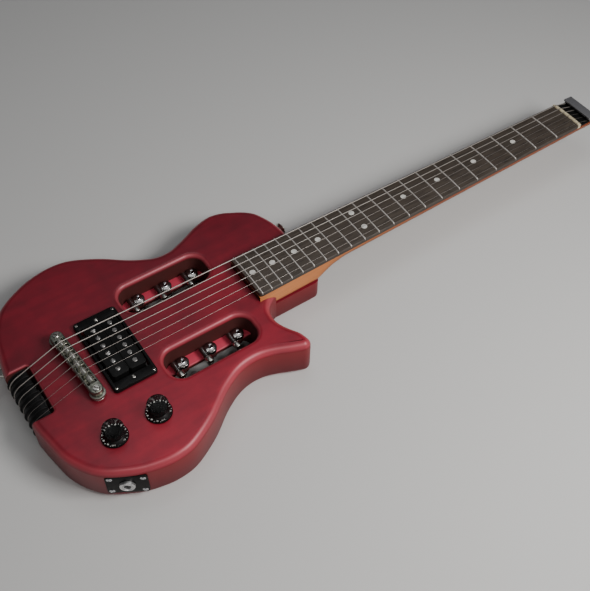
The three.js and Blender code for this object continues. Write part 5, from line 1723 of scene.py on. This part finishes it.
# %% Route the strings
def tube(path, radius, sides=10):
    """A round tube along a path of points."""
    path = np.asarray(path, float)
    ahead = np.gradient(path, axis=0)
    ahead /= np.linalg.norm(ahead, axis=1)[:, None]
    side = np.cross((0, 1, 0), ahead[0])
    angle = np.arange(sides) * 2 * math.pi / sides
    rings = []
    for here, along in zip(path, ahead):
        side = side - along * (side @ along)
        side /= np.linalg.norm(side)
        other = np.cross(along, side)
        rings.append(here + radius * (np.cos(angle)[:, None] * side + np.sin(angle)[:, None] * other))
    return loft(rings)


wraps, wrap_steps, settle_steps, wrap_pitch, wrap_waist = 3, 16, 10, 1.05 * 0.9, 2.35


def string_path(name, turn_steps=24):
    radius = string_radius[name]
    nut_y, bridge_y = nut_spread * string_share[name], bridge_spread * string_share[name]
    inside, outside = anchor_entry + radius - 0.1, anchor_entry + radius + 0.1
    points = [(anchor_face + 3, nut_y, inside), (anchor_face - 3, nut_y, outside)]
    over_nut = nut_string_bottom(nut_y) + radius
    points.append((nut_back - 0.6, nut_y, over_nut - nut_drop + 0.15))
    points.append((nut_front + 0.4, nut_y, over_nut))
    crest, top = saddle_middles[name][0], string_top(name)
    points += [(crest + string_bend, bridge_y, top), (crest - string_bend, bridge_y, top)]
    reach = turn_radius + radius
    for angle in np.linspace(turn_start(name), 1.5 * math.pi, turn_steps):
        x, z = turn_middle.x + reach * math.cos(angle), turn_middle.z + reach * math.sin(angle)
        points.append((x, bridge_y, z))
    place = tuner_places[name]
    inward = -1 if place.y > 0 else 1
    low, around = turn_middle.z - reach, winder_radius + radius
    points.append((place.x - 6, place.y + inward * (around + 0.2), low))
    for step in range(wraps * wrap_steps + 1):
        angle = inward * (math.pi / 2 + step / wrap_steps * 2 * math.pi)
        wide = around + min(1, step / settle_steps) * (wrap_waist - winder_radius)
        drop = 2 * radius * wrap_pitch * step / wrap_steps
        points.append((place.x + wide * math.cos(angle), place.y + wide * math.sin(angle), low - drop))
    return points


wound, tree, shader, place = new_finish("string_wound", Metallic=0.8)
winding = {"Vector": place, "Scale": 620.0, "Distortion": 0.0}
ridges = wire(tree, "ShaderNodeTexWave", winding, bands_direction="X")["Fac"]
tone = blend(tree, ridges, (0.26, 0.24, 0.22), (0.64, 0.59, 0.54))
worn = place_group(tree, scuffs, place, Scale=90, Least=0.42, Most=0.56)
feed(tree, shader, {"Base Color": tone, "Roughness": worn["Roughness"]})
bump(tree, shader, ridges, 0.05, 0.6)
for name, radius in string_radius.items():
    finish = wound if radius > 0.3 else plain_wire
    string = tube(string_path(name), radius)
    new_piece(f"wire_{name}", string, finish, stands_for=f"string_{name}", smooth=60)
print("strings:", string_names)

# %% [markdown]
# ## Pieces kept as they are
#
# The truss rod, the axle, the potentiometers, their shafts and the pickup's baseplate are hidden or
# plain turned parts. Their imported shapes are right, so they only get their finishes.

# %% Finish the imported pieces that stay
kept = {
    steel: ["truss_rod", "turn_axle", "volume_shaft", "tone_shaft"],
    slug_nickel: ["pickup_baseplate", "volume_potentiometer", "tone_potentiometer"],
}
for metal, nodes in kept.items():
    for node in nodes:
        frame["nodes"][node].data.materials.clear()
        frame["nodes"][node].data.materials.append(metal)
print("kept:", sum(kept.values(), []))
